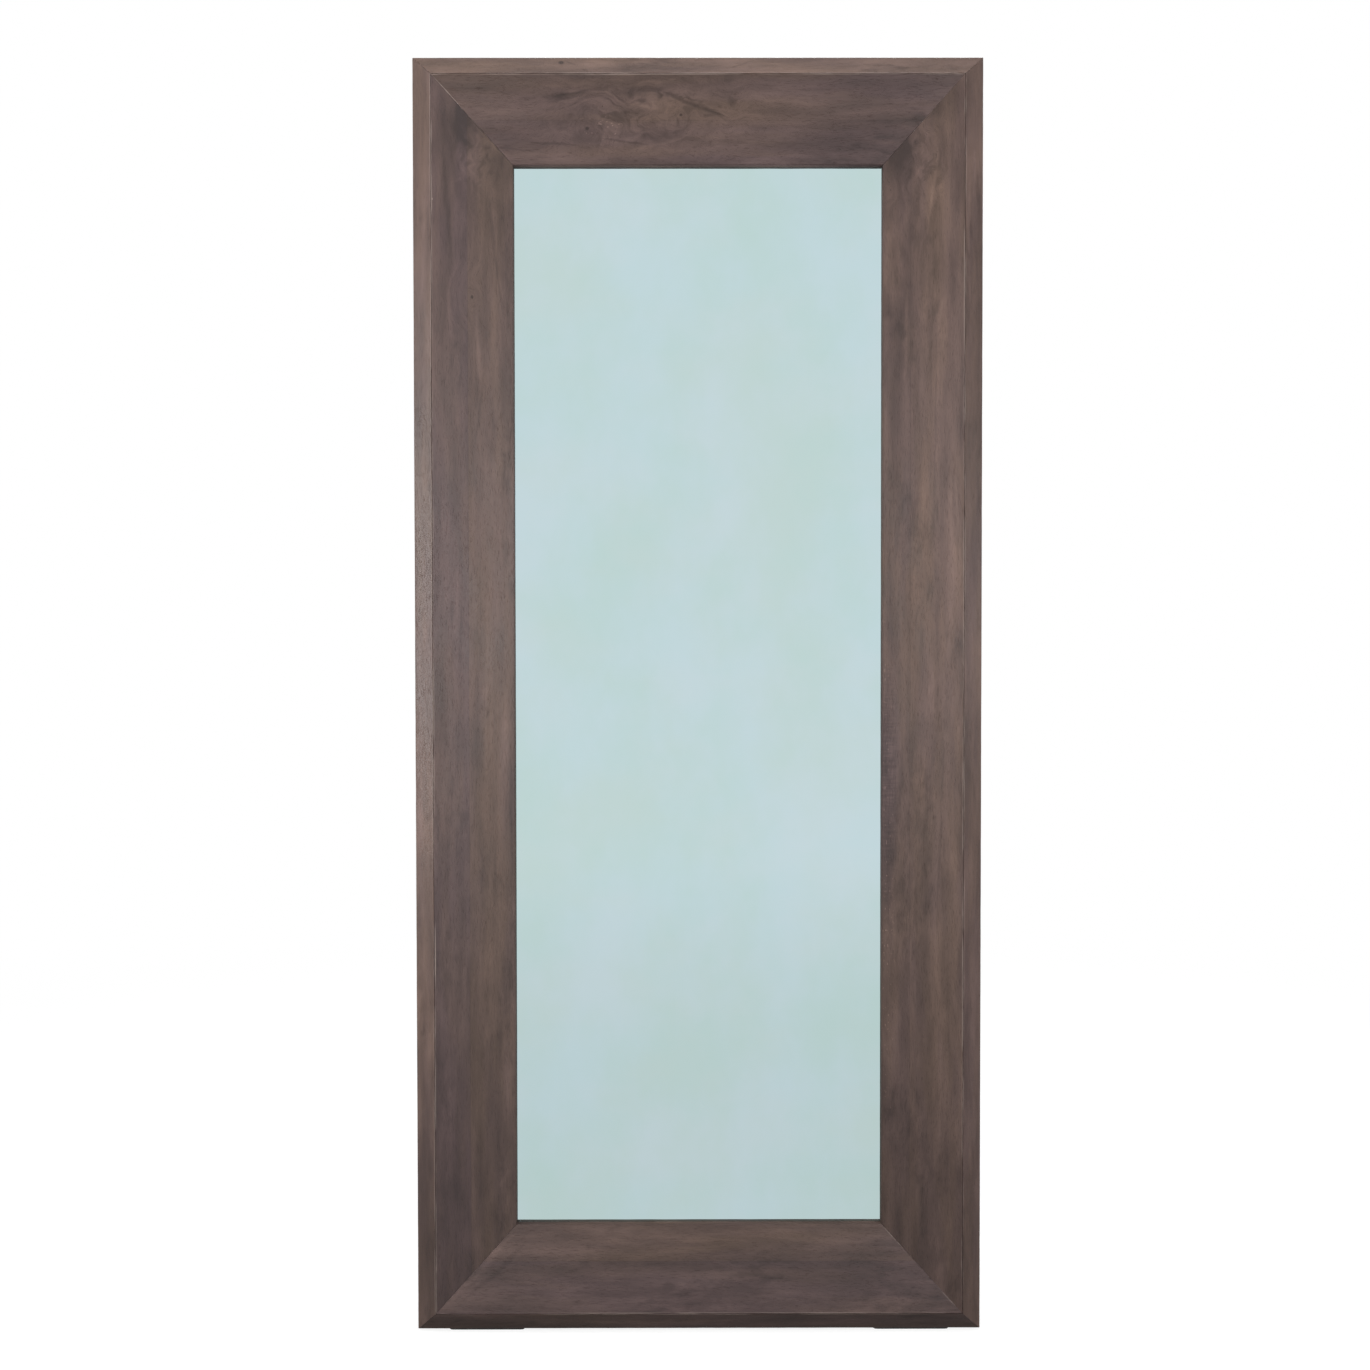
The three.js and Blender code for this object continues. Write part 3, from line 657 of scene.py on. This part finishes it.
BOARDS = {
    "left": dict(
        seed=1.0, base=0.39, hue_base=0.15, gloss=0.25, staves=(0.0870, 0.03, 0.55),
        # The first patch, across the whole face about mid-height, is painted light, and the full-width patches at
        # 0.100 and 0.360 are painted shade, darker towards the foot.
        tones=[
            ((0.090, 1.220, 0.200, 0.55), 0.15), ((0.060, 1.900, 0.040, 0.09), -0.12),
            ((0.085, 1.925, 0.050, 0.07), -0.33), ((0.090, 0.100, 0.200, 0.30), -0.21),
            ((0.105, 1.500, 0.018, 0.06), -0.14), ((0.145, 0.950, 0.012, 0.10), 0.16),
            ((0.140, 1.860, 0.035, 0.06), -0.26), ((0.055, 0.850, 0.040, 0.14), 0.12),
            ((0.090, 0.360, 0.200, 0.14), -0.07), ((0.140, 1.400, 0.050, 0.20), -0.09),
            ((0.122, 1.430, 0.020, 0.05), -0.13), ((0.062, 0.225, 0.040, 0.04), -0.15),
            ((0.080, 0.150, 0.020, 0.03), 0.08), ((0.146, 0.380, 0.018, 0.16), 0.09),
        ],
        veins=[
            ((0.050, 1.88, 0.062, 1.70, 0.006), -0.20), ((0.120, 1.80, 0.140, 1.62, 0.004), -0.14),
            ((0.112, 1.53, 0.098, 1.40, 0.005), -0.16), ((0.100, 1.62, 0.106, 1.50, 0.006), 0.14),
            ((0.150, 0.93, 0.153, 0.70, 0.005), -0.16),
        ],
        rubs=[((0.033, 0.66, 0.033, 0.54, 0.0014), 0.9), ((0.0335, 1.796, 0.0335, 1.792, 0.0011), 1.0)],
        knots=[(0.094, 1.643, 0.0030, 0.045)], burl=(0.105, 1.875, 0.065, 0.13),
    ),
    "right": dict(
        seed=2.0, base=0.40, hue_base=0.70, staves=(0.1145, -0.04, -0.1),
        # The first patch, across the whole face about mid-height, is painted light, and the full-width patch at
        # 0.100 is painted shade, darker towards the foot.
        tones=[
            ((0.090, 1.220, 0.200, 0.55), 0.15), ((0.140, 1.870, 0.050, 0.07), -0.44),
            ((0.070, 1.950, 0.050, 0.06), -0.28), ((0.090, 0.100, 0.200, 0.30), -0.18),
            ((0.046, 1.150, 0.018, 0.55), 0.12), ((0.085, 1.800, 0.012, 0.05), 0.16),
            ((0.130, 0.340, 0.075, 0.13), -0.16), ((0.060, 0.830, 0.040, 0.12), 0.14),
            ((0.060, 0.140, 0.050, 0.10), 0.08),
        ],
        hues=[((0.080, 1.80, 0.02, 0.08), 0.5), ((0.148, 0.90, 0.024, 0.26), -0.4)],
        veins=[
            ((0.072, 1.88, 0.090, 1.74, 0.005), 0.16), ((0.120, 1.66, 0.124, 1.50, 0.005), 0.13),
            ((0.075, 1.60, 0.078, 1.30, 0.003), -0.10), ((0.060, 1.00, 0.074, 0.60, 0.003), -0.12),
        ],
        knots=[(0.1460, 1.812, 0.0012, 0.020)], burl=(0.105, 1.86, 0.055, 0.10),
        ripple=(0.148, 0.88, 0.022, 0.28), flecks=(0.150, 0.70, 0.019, 0.75),
    ),
    "top": dict(
        # The lip step here is strong painted light on the top board's lip, which faces down into shade.
        seed=3.0, base=0.45, hue_base=0.5, gloss=0.12, lip_painted_light=0.45, staves=(0.1010, 0.0, -0.1),
        # The tone patch and the hue patch along the inner edge at u 0.162 are painted shade.
        tones=[
            ((0.065, 0.2365, 0.010, 0.022), -0.22), ((0.070, 0.367, 0.007, 0.010), -0.22),
            ((0.063, 0.392, 0.013, 0.007), -0.30), ((0.074, 0.497, 0.012, 0.012), -0.26),
            ((0.100, 0.740, 0.140, 0.220), -0.22), ((0.140, 0.170, 0.040, 0.060), -0.14),
            ((0.085, 0.450, 0.050, 0.120), 0.06), ((0.100, 0.300, 0.022, 0.040), 0.07),
            ((0.162, 0.500, 0.012, 0.400), -0.10),
        ],
        hues=[
            ((0.085, 0.42, 0.060, 0.18), 0.4), ((0.100, 0.74, 0.140, 0.22), -0.4),
            ((0.162, 0.45, 0.014, 0.50), -0.4),
        ],
        veins=[
            ((0.058, 0.395, 0.096, 0.492, 0.0065), -0.40), ((0.134, 0.185, 0.138, 0.262, 0.0035), -0.20),
            ((0.128, 0.300, 0.138, 0.372, 0.0035), -0.20), ((0.150, 0.330, 0.128, 0.420, 0.005), 0.12),
            ((0.142, 0.120, 0.146, 0.200, 0.003), -0.16), ((0.066, 0.205, 0.060, 0.270, 0.004), -0.16),
        ],
        rubs=[
            ((0.031, 0.031, 0.082, 0.079, 0.0016), 0.7), ((0.085, 0.820, 0.126, 0.782, 0.0016), 0.55),
            ((0.033, 0.17, 0.033, 0.40, 0.0014), 0.5),
        ],
        knots=[
            (0.113, 0.2756, 0.0036, 0.062), (0.080, 0.300, 0.0012, 0.036), (0.093, 0.4233, 0.0030, 0.030),
        ],
        burl=(0.090, 0.36, 0.085, 0.24), flecks=(0.115, 0.30, 0.045, 0.06),
    ),
    "bottom": dict(
        seed=4.0, base=0.36, hue_base=0.1, gloss=0.15, staves=(0.1110, 0.05, 0.55),
        tones=[((0.10, 0.72, 0.06, 0.08), -0.12), ((0.150, 0.45, 0.02, 0.35), 0.05)],
        hues=[((0.150, 0.45, 0.03, 0.35), 0.3), ((0.150, 0.78, 0.05, 0.10), -0.5)],
        veins=[
            ((0.045, 0.050, 0.160, 0.160, 0.008), 0.15), ((0.050, 0.075, 0.140, 0.175, 0.007), -0.12),
            ((0.096, 0.50, 0.082, 0.60, 0.004), -0.10), ((0.060, 0.52, 0.052, 0.62, 0.004), 0.10),
        ],
        rubs=[
            ((0.165, 0.744, 0.128, 0.779, 0.0014), 0.6), ((0.075, 0.828, 0.040, 0.860, 0.0014), 0.45),
            ((0.033, 0.10, 0.033, 0.86, 0.0012), 0.35),
        ],
    ),
}
MOULDINGS = {
    "left": dict(
        seed=5.0, base=0.54, hue_base=0.6, gloss=0.22,
        # The patches at 1.10 and 0.16 are painted light about mid-height and painted shade near the foot.
        tones=[
            ((0.015, 1.10, 0.20, 0.60), 0.08), ((0.015, 0.53, 0.10, 0.12), 0.20),
            ((0.015, 0.85, 0.10, 0.16), 0.12), ((0.015, 0.16, 0.10, 0.30), -0.24),
            ((0.015, 1.45, 0.10, 0.12), -0.15), ((0.015, 1.65, 0.10, 0.10), 0.09),
        ],
    ),
    "right": dict(
        seed=6.0, base=0.44,
        # The patches at 1.06 and 0.14 are painted light about mid-height and painted shade near the foot.
        tones=[
            ((0.015, 1.06, 0.10, 0.22), 0.20), ((0.015, 1.84, 0.10, 0.14), 0.15),
            ((0.015, 0.14, 0.10, 0.30), -0.13), ((0.015, 0.67, 0.10, 0.14), 0.14),
        ],
    ),
    "top": dict(
        seed=7.0, base=0.52, hue_base=0.75, gloss=0.10, knots=[(0.0102, 0.2351, 0.0048, 0.024)],
        tones=[
            ((0.015, 0.34, 0.02, 0.03), -0.10), ((0.012, 0.30, 0.02, 0.03), 0.12),
            ((0.015, 0.52, 0.02, 0.05), 0.08),
        ],
        veins=[((0.006, 0.24, 0.014, 0.26, 0.003), -0.15), ((0.020, 0.505, 0.006, 0.540, 0.0025), -0.16)],
    ),
    # The bottom moulding's low base tone is painted shade on its chamfer, which faces the floor.
    "bottom": dict(seed=8.0, base=0.26, gloss=0.10),
}

for side in SIDES:
    for kind, looks, build in (("moulding", MOULDINGS, build_moulding), ("board", BOARDS, build_board)):
        look = looks[side.name]
        materials = [wood_material(side, kind, **look), raw_wood_material(side, kind, look["seed"])]
        build(side, materials, look["seed"])


# ======== Mirror glass, foam and back panel ========

def silver_material():
    """Silvered glass, seen from the front: a faint green and blue cast, with a trace of haze."""
    graph = new_graph("silvered_glass")
    place = graph.place()
    clouds = graph.noise(place, (0.22, 0.22, 0.30), 4.0, 0.58)
    blush = graph.noise(place, (0.30, 0.30, 0.20), 4.0, 0.58)
    haze = graph.noise(place, (0.05, 0.05, 0.08), 4.0, 0.6)
    green, blue = (0.528, 0.661, 0.645), (0.560, 0.679, 0.715)
    tint = graph.ramp(graph.span(clouds, 0.33, 0.67), [(0.0, green), (1.0, blue)])
    tint = graph.blend(graph.span(blush, 0.36, 0.64), tint, (0.96, 1.0, 1.0, 1), "MULTIPLY")
    rough = graph.mul_add(graph.span(haze, 0.55, 0.8), 0.02, 0.012)
    return graph.finish(base_color=tint, metallic=1.0, roughness=rough)


def glass_edge_material():
    """The ground green edge of the glass."""
    graph = new_graph("glass_edge")
    grind = graph.noise(graph.place(), (0.0012, 0.0012, 0.0012), 3.0, 0.6)
    color = graph.ramp(grind, [(0.3, srgb(104, 142, 128)), (0.7, srgb(146, 178, 164))])
    return graph.finish(base_color=color, roughness=graph.mul_add(grind, 0.3, 0.25),
                        normal=graph.bump(grind, 0.0001, 0.5))


def backing_paint_material():
    """The grey protective paint on the back of the silver."""
    graph = new_graph("mirror_backing_paint")
    peel = graph.noise(graph.place(), (0.004, 0.004, 0.004), 3.0, 0.5)
    color = graph.ramp(peel, [(0.3, srgb(112, 116, 118)), (0.7, srgb(128, 132, 133))])
    return graph.finish(base_color=color, roughness=graph.mul_add(peel, 0.2, 0.4),
                        normal=graph.bump(peel, 0.0001, 0.4))


def foam_material():
    graph = new_graph("closed_cell_foam")
    place = graph.place()
    cells = graph.cells(place, (0.0016, 0.0016, 0.0016))
    broad = graph.noise(place, (0.12, 0.12, 0.12), 3.0, 0.5)
    tone = graph.mul_add(cells, 0.5, graph.times(broad, 0.5))
    color = graph.ramp(tone, [(0.2, srgb(206, 206, 200)), (0.8, srgb(238, 238, 234))])
    return graph.finish(base_color=color, roughness=0.92, normal=graph.bump(cells, 0.0003, 0.8))


def fibreboard_material():
    """Hard pressed fibreboard: brown, with flecks of fibre, chips and a few scuffs."""
    graph = new_graph("fibreboard")
    place = graph.place()
    clouds = graph.noise(place, (0.3, 0.3, 0.4), 4.0, 0.55)
    mottle = graph.noise(place, (0.012, 0.012, 0.012), 4.0, 0.65)
    flecks = graph.noise(place, (0.0011, 0.0011, 0.0042), 2.0, 0.5)
    chips = graph.span(graph.cells(place, (0.006, 0.006, 0.009)), 0.0, 0.25, 1.0, 0.0)
    scuff = graph.noise(place, (0.004, 0.004, 0.16), 3.0, 0.6)
    tone = 0.5
    for layer, weight in ((clouds, 0.7), (mottle, 0.5), (flecks, 0.55)):
        tone = graph.vary(layer, weight, tone)
    tone = graph.mul_add(chips, -0.10, tone)
    tone = graph.mul_add(graph.span(scuff, 0.66, 0.76), 0.12, tone)
    color = graph.ramp(tone, [
        (0.0, srgb(92, 64, 42)), (0.4, srgb(124, 92, 63)),
        (0.7, srgb(147, 113, 80)), (1.0, srgb(172, 140, 104)),
    ])
    return graph.finish(base_color=color, roughness=graph.mul_add(mottle, 0.25, 0.55),
                        normal=graph.bump(graph.mul_add(flecks, 0.6, mottle), 0.00025, 0.7),
                        specular_ior_level=0.35)


glass_materials = [silver_material(), glass_edge_material(), backing_paint_material()]
mirror = eased_copy("mirror_glass", "_silvered", "frame", glass_materials, 0.0008)
for polygon in mirror.data.polygons:
    if polygon.normal.y < -0.99:
        polygon.material_index = 0
    elif polygon.normal.y > 0.99:
        polygon.material_index = 2
    else:
        polygon.material_index = 1

eased_copy("foam_sheet", "_celled", "frame", [foam_material()], 0.0005)
eased_copy("back_panel", "_pressed", "frame", [fibreboard_material()], 0.0006)


# ======== Steel fittings ========

def zinc_material(name, grain):
    """Zinc plated steel. Grain is the size of its brushing along x, y and z."""
    graph = new_graph(name)
    place = graph.place()
    spangle = graph.separate(graph.cells(place, (0.004, 0.004, 0.004), "Color"))[0]
    clouds = graph.noise(place, (0.012, 0.012, 0.012), 4.0, 0.6)
    brush = graph.noise(place, grain, 2.0, 0.5)
    tone = graph.mul_add(spangle, 0.18, graph.mul_add(clouds, 0.5, graph.times(brush, 0.3)))
    color = graph.ramp(tone, [
        (0.2, srgb(142, 144, 146)), (0.55, srgb(176, 178, 180)), (0.9, srgb(206, 206, 204)),
    ])
    return graph.finish(base_color=color, metallic=1.0, roughness=graph.mul_add(clouds, 0.3, 0.24),
                        normal=graph.bump(brush, 0.00006, 0.6))


plate_zinc = zinc_material("zinc_plate", (0.0006, 0.0006, 0.012))
strap_zinc = zinc_material("zinc_strap", (0.0005, 0.0005, 0.009))
wire_zinc = zinc_material("zinc_wire", (0.0007, 0.0007, 0.0007))
screw_zinc = zinc_material("zinc_screw", (0.0005, 0.0005, 0.0005))

for corner in ("bottom_left", "bottom_right", "top_left", "top_right"):
    eased_copy(f"corner_plate_{corner}", "_plated", "frame", [plate_zinc], 0.0003, joined=False)
for hand in ("left", "right"):
    eased_copy(f"hanger_plate_{hand}", "_rolled", "frame", [strap_zinc], 0.0002, angle=50,
               joined=False)


def middle_xz(low, high):
    return (low.x + high.x) / 2, (low.z + high.z) / 2


# A screw's radii and heights, the heights measured from the seat under its head
HEAD_RADIUS = 0.0036
HEAD_RIM = 0.0009
HEAD_CROWN = 0.0022
SHANK = 0.0014
CREST = 0.0018
THREAD_PITCH = 0.0016
TIP = 0.003
NECK = 0.002

# Its cross recess: half the width of its arms, their length, its depth in the middle, the distance over which it
# loses 0.6 of that, and the radius it stays within
CROSS_ARM = 0.00052
CROSS_REACH = 0.00195
CROSS_DEPTH = 0.0011
CROSS_FADE = 0.0022
CROSS_ZONE = 0.0024


def screw_profile(length):
    """From the point over the thread and the neck to the crown of the head."""
    profile = [(0.0, -length), (SHANK * 0.35, -length + 0.0008), (SHANK * 0.8, -length + TIP * 0.75)]
    for k in range(int((length - TIP - NECK) / THREAD_PITCH)):
        at = -length + TIP + k * THREAD_PITCH
        profile += [(SHANK, at), (CREST, at + THREAD_PITCH * 0.35), (SHANK, at + THREAD_PITCH * 0.7)]
    profile += [(SHANK + 0.0001, -0.0012), (SHANK + 0.0003, 0.0)]
    profile += [(HEAD_RADIUS - 0.0002, 0.0), (HEAD_RADIUS, 0.0003)]
    for k in range(1, 7):
        a = k / 6 * math.pi / 2
        profile.append((HEAD_RADIUS * math.cos(a * 0.55), HEAD_RIM + (HEAD_CROWN - HEAD_RIM) * math.sin(a)))
    flat = profile[-1][0]
    profile += [(flat * (1 - k / 5), HEAD_CROWN) for k in range(1, 5)]
    return profile + [(0.0, HEAD_CROWN)]


def build_screw(node):
    """A pan head screw with a cross recess, a threaded shank and a point, driven to an angle of its own."""
    low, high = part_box(node)
    x, z = middle_xz(low, high)
    seat = high.y - HEAD_CROWN
    turn = (x * 37 + z * 91) % math.pi
    cos_turn, sin_turn = math.cos(turn), math.sin(turn)

    def place(a, b, height):
        if height > HEAD_RIM and math.hypot(a, b) < CROSS_ZONE:
            p, q = abs(a * cos_turn - b * sin_turn), abs(a * sin_turn + b * cos_turn)
            if min(p, q) < CROSS_ARM and max(p, q) < CROSS_REACH:
                height -= CROSS_DEPTH * (1 - 0.6 * max(p, q) / CROSS_FADE)
        return x + a, seat + height, z + b

    built = lathe(screw_profile(seat - low.y), 24, place)
    end_piece(built, node, "_driven", [screw_zinc], 38, "frame")


for node in sorted(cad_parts):
    if "_screw_" in node:
        build_screw(node)

# A ring's bend at each end of its bar, the points round its wire, and its weld: how thick and how wide
RING_BEND = 0.003
WIRE_SIDES = 16
WELD = 0.00006
WELD_WIDTH = 0.0006
# The wire stays this much inside its solid
WIRE_INSET = 0.00002


def ring_outline(half, drop):
    """The wire's middle line from the left end of its bar: bar, bend, leg, bow, leg and bend."""
    outline = []

    def straight(x0, y0, x1, y1, count):
        for k in range(count):
            outline.append(Vector((x0 + (x1 - x0) * k / count, y0 + (y1 - y0) * k / count)))

    def bend(x, y, start, end, radius, count):
        for k in range(count):
            a = start + (end - start) * k / count
            outline.append(Vector((x + radius * math.cos(a), y + radius * math.sin(a))))

    bar = half - RING_BEND
    straight(-bar, 0.0, bar, 0.0, 24)
    bend(bar, -RING_BEND, math.pi / 2, 0.0, RING_BEND, 8)
    straight(half, -RING_BEND, half, half - drop, 6)
    bend(0.0, half - drop, 0.0, -math.pi, half, 40)
    straight(-half, half - drop, -half, -RING_BEND, 6)
    bend(-bar, -RING_BEND, math.pi, math.pi / 2, RING_BEND, 8)
    return outline


def build_ring(hand):
    """The D-ring: one bent wire with a butt weld in the middle of its straight bar."""
    node = f"hanger_ring_{hand}"
    low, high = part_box(node)
    wire = (high.y - low.y) / 2
    centre_x, centre_y = (low.x + high.x) / 2, (low.y + high.y) / 2
    axis_z = high.z - wire
    outline = ring_outline((high.x - low.x) / 2 - wire, axis_z - low.z - wire)
    built = bmesh.new()
    rings = []
    for i, point in enumerate(outline):
        along = (outline[(i + 1) % len(outline)] - outline[i - 1]).normalized()
        weld = WELD * math.exp(-((point.x / WELD_WIDTH) ** 2)) if abs(point.y) < 1e-6 else 0.0
        radius = wire - WIRE_INSET + weld
        ring = []
        for j in range(WIRE_SIDES):
            a = 2 * math.pi * j / WIRE_SIDES
            out, deep = radius * math.cos(a), radius * math.sin(a)
            ring.append(built.verts.new((
                centre_x + point.x - along.y * out, centre_y + deep, axis_z + point.y + along.x * out,
            )))
        rings.append(ring)
    for a, b in zip(rings, rings[1:] + rings[:1]):
        join_rings(built, a, b)
    bmesh.ops.recalc_face_normals(built, faces=built.faces)
    end_piece(built, node, "_bent", [wire_zinc], 60, f"ring_{hand}")


for hand in ("left", "right"):
    build_ring(hand)


# ======== Rubber ========

# A bumper's radii at the wood and at the wall, and its roundings there
BUMPER_BASE = 0.011
BUMPER_NOSE = 0.009
BASE_EASE = 0.0004
NOSE_ROUND = 0.0022


def rubber_material():
    graph = new_graph("black_rubber")
    place = graph.place()
    grit = graph.noise(place, (0.0011, 0.0011, 0.0011), 4.0, 0.65)
    dust = graph.noise(place, (0.014, 0.014, 0.014), 3.0, 0.6)
    tone = graph.mul_add(graph.span(dust, 0.5, 0.8), 0.5, graph.times(grit, 0.4))
    color = graph.ramp(tone, [(0.0, srgb(26, 26, 27)), (0.5, srgb(40, 40, 41)), (1.0, srgb(78, 76, 73))])
    return graph.finish(base_color=color, roughness=graph.mul_add(grit, 0.2, 0.68),
                        normal=graph.bump(grit, 0.0002, 0.7))


def build_bumper(node, rubber):
    """A tapered round bumper with a dimple in its nose."""
    low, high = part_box(node)
    x, z = middle_xz(low, high)
    thick = high.y - low.y
    taper, rise = BUMPER_BASE - BUMPER_NOSE, thick - BASE_EASE - NOSE_ROUND
    profile = [(0.0, 0.0), (BUMPER_BASE - BASE_EASE, 0.0)]
    profile += [(BUMPER_BASE - taper * k / 4, BASE_EASE + rise * k / 4) for k in range(5)]
    for k in range(1, 6):
        a = k / 5 * math.pi / 2
        profile.append((BUMPER_NOSE - NOSE_ROUND * (1 - math.cos(a)), thick - NOSE_ROUND * (1 - math.sin(a))))
    profile += [(0.0030, thick), (0.0026, thick - 0.0010), (0.0, thick - 0.0010)]
    built = lathe(profile, 40, lambda a, b, height: (x + a, low.y + height, z + b))
    end_piece(built, node, "_moulded", [rubber], 40, "frame")


rubber = rubber_material()
for hand in ("left", "right"):
    eased_copy(f"floor_pad_{hand}", "_cut", "frame", [rubber], 0.0004)
    for end in ("bottom", "top"):
        build_bumper(f"wall_bumper_{end}_{hand}", rubber)


# ======== Floor, light and camera ========

WHITE = (1, 1, 1, 1)
FLOOR_RADIUS = 60


def floor_material():
    """A pale studio floor that keeps shadows near the object and runs into the white background."""
    graph = new_graph("studio_floor")
    place = graph.place()
    away = graph.vector("LENGTH", place)
    path = graph.node("LightPath").outputs
    seen = graph.highest(path["Is Camera Ray"], path["Is Transmission Ray"])
    mirrored = path["Is Glossy Ray"]

    # Near the object: a grey floor that takes shadows, lifted to white for the camera
    grain = graph.noise(place, (0.002, 0.002, 0.002), 3.0, 0.6)
    color = graph.ramp(grain, [(0.0, (0.29, 0.29, 0.29)), (1.0, (0.33, 0.33, 0.33))])
    diffuse = graph.node("BsdfDiffuse", {"Color": color, "Roughness": 0.5}).outputs[0]
    lift = graph.node("Emission", {"Color": WHITE, "Strength": graph.times(seen, 0.80)}).outputs[0]
    near = graph.node("AddShader", {0: diffuse, 1: lift}).outputs[0]

    # Far from it, and in reflections: white, but in the glass dimmed by painted shade near the object and by a
    # painted contact shadow towards the mirror's foot
    painted_contact_shadow = graph.span(graph.math("ABSOLUTE", graph.separate(place)[1]), 0.02, 0.35, 0.35, 0.0)
    painted_reflected_shade = graph.times(mirrored, graph.add(graph.span(away, 0.3, 7.0, 0.095, 0.0), painted_contact_shadow))
    white = graph.node("Emission", {"Color": WHITE, "Strength": graph.subtract(1.0, painted_reflected_shade)}).outputs[0]
    far = graph.highest(mirrored, graph.times(graph.span(away, 0.7, 4.2), seen))
    graph.node("OutputMaterial", {"Surface": graph.mix_shaders(far, near, white)})
    return graph.owner


ground = bmesh.new()
bmesh.ops.create_circle(ground, cap_ends=True, segments=96, radius=FLOOR_RADIUS)
floor_data = bpy.data.meshes.new("studio_floor")
ground.to_mesh(floor_data)
ground.free()
new_object("studio_floor", floor_data, [floor_material()])


def set_world(ambient):
    """White to the camera, in reflections and through glass, and a weak even fill for everything else."""
    graph = Graph(bpy.data.worlds.new("studio"))
    path = graph.node("LightPath").outputs
    seen = graph.highest(path["Is Camera Ray"], path["Is Glossy Ray"])
    seen = graph.highest(seen, path["Is Transmission Ray"])
    fill = graph.node("Background", {"Color": WHITE, "Strength": ambient}).outputs[0]
    white = graph.node("Background", {"Color": WHITE, "Strength": 1.0}).outputs[0]
    graph.node("OutputWorld", {"Surface": graph.mix_shaders(seen, fill, white)})
    bpy.context.scene.world = graph.owner


# The lamps light everything but the mirror glass, so no softbox shows in it from any side.
unlit = bpy.data.collections.new("not_lit_by_the_lamps")
unlit.objects.link(mirror)
unlit.collection_objects[0].light_linking.link_state = "EXCLUDE"


def softbox(name, place, target, width, height, power):
    lamp = bpy.data.lights.new(name, "AREA")
    lamp.shape = "RECTANGLE"
    lamp.size, lamp.size_y, lamp.energy = width, height, power
    made = bpy.data.objects.new(name, lamp)
    bpy.context.scene.collection.objects.link(made)
    made.location = place
    made.rotation_mode = "QUATERNION"
    made.rotation_quaternion = (Vector(target) - Vector(place)).to_track_quat("-Z", "Y")
    made.light_linking.receiver_collection = unlit


# Place, target, width, height and watts
SOFTBOXES = {
    "overhead": ((0.0, -0.5, 3.3), (0.0, 0.0, 1.6), 1.6, 0.6, 20),
    "front_left": ((-1.55, -6.0, 1.3), (0.0, 0.0, 1.15), 0.8, 1.3, 70),
    "front_right": ((1.55, -6.0, 1.3), (0.0, 0.0, 1.15), 0.8, 1.3, 70),
    "side_left": ((-2.4, -0.55, 1.25), (-0.4, 0.0, 1.15), 0.5, 1.2, 24),
    "side_right": ((2.4, -0.55, 1.25), (0.4, 0.0, 1.15), 0.5, 0.9, 6),
    "high_left": ((-1.5, -1.2, 2.5), (-0.2, 0.0, 1.3), 0.8, 0.8, 11),
    "near_right": ((1.6, -1.5, 1.35), (0.0, 0.0, 1.25), 0.8, 1.2, 16),
    "behind": ((0.6, 2.9, 3.0), (0.0, 0.0, 1.0), 2.2, 1.4, 85),
}

set_world(0.18)
for softbox_name, settings in SOFTBOXES.items():
    softbox(softbox_name, *settings)

# The camera stands 3 m in front of the ridge, a little above the mirror's middle, and looks slightly down.
DISTANCE = 3.0
SIDEWAYS = -0.0276
ABOVE_MIDDLE = 0.1008
CAMERA_TILT, CAMERA_ROLL, CAMERA_PAN = math.radians(-1.506), math.radians(0.062), math.radians(-0.118)
FOCAL_PIXELS = 1903.4
IMAGE_SIZE = 1370
SENSOR = 36


def set_camera():
    forward = Vector((-math.sin(CAMERA_PAN), math.cos(CAMERA_PAN), 0))
    right = Vector((math.cos(CAMERA_PAN), math.sin(CAMERA_PAN), 0))
    up = Vector((0, 0, 1))
    forward, up = (
        forward * math.cos(CAMERA_TILT) + up * math.sin(CAMERA_TILT),
        up * math.cos(CAMERA_TILT) - forward * math.sin(CAMERA_TILT),
    )
    right, up = (
        right * math.cos(CAMERA_ROLL) - up * math.sin(CAMERA_ROLL),
        right * math.sin(CAMERA_ROLL) + up * math.cos(CAMERA_ROLL),
    )
    data = bpy.data.cameras.new("photo_view")
    data.sensor_width = SENSOR
    data.lens = SENSOR * FOCAL_PIXELS / IMAGE_SIZE
    data.clip_end = 200
    made = bpy.data.objects.new("photo_view", data)
    bpy.context.scene.collection.objects.link(made)
    turn = Matrix((right, up, -forward)).transposed().to_4x4()
    place = Vector((SIDEWAYS, RIDGE_Y - DISTANCE, FOOT + HEIGHT / 2 + ABOVE_MIDDLE))
    made.matrix_world = Matrix.Translation(place) @ turn
    bpy.context.scene.camera = made


set_camera()
bpy.context.scene.view_settings.view_transform = "Standard"
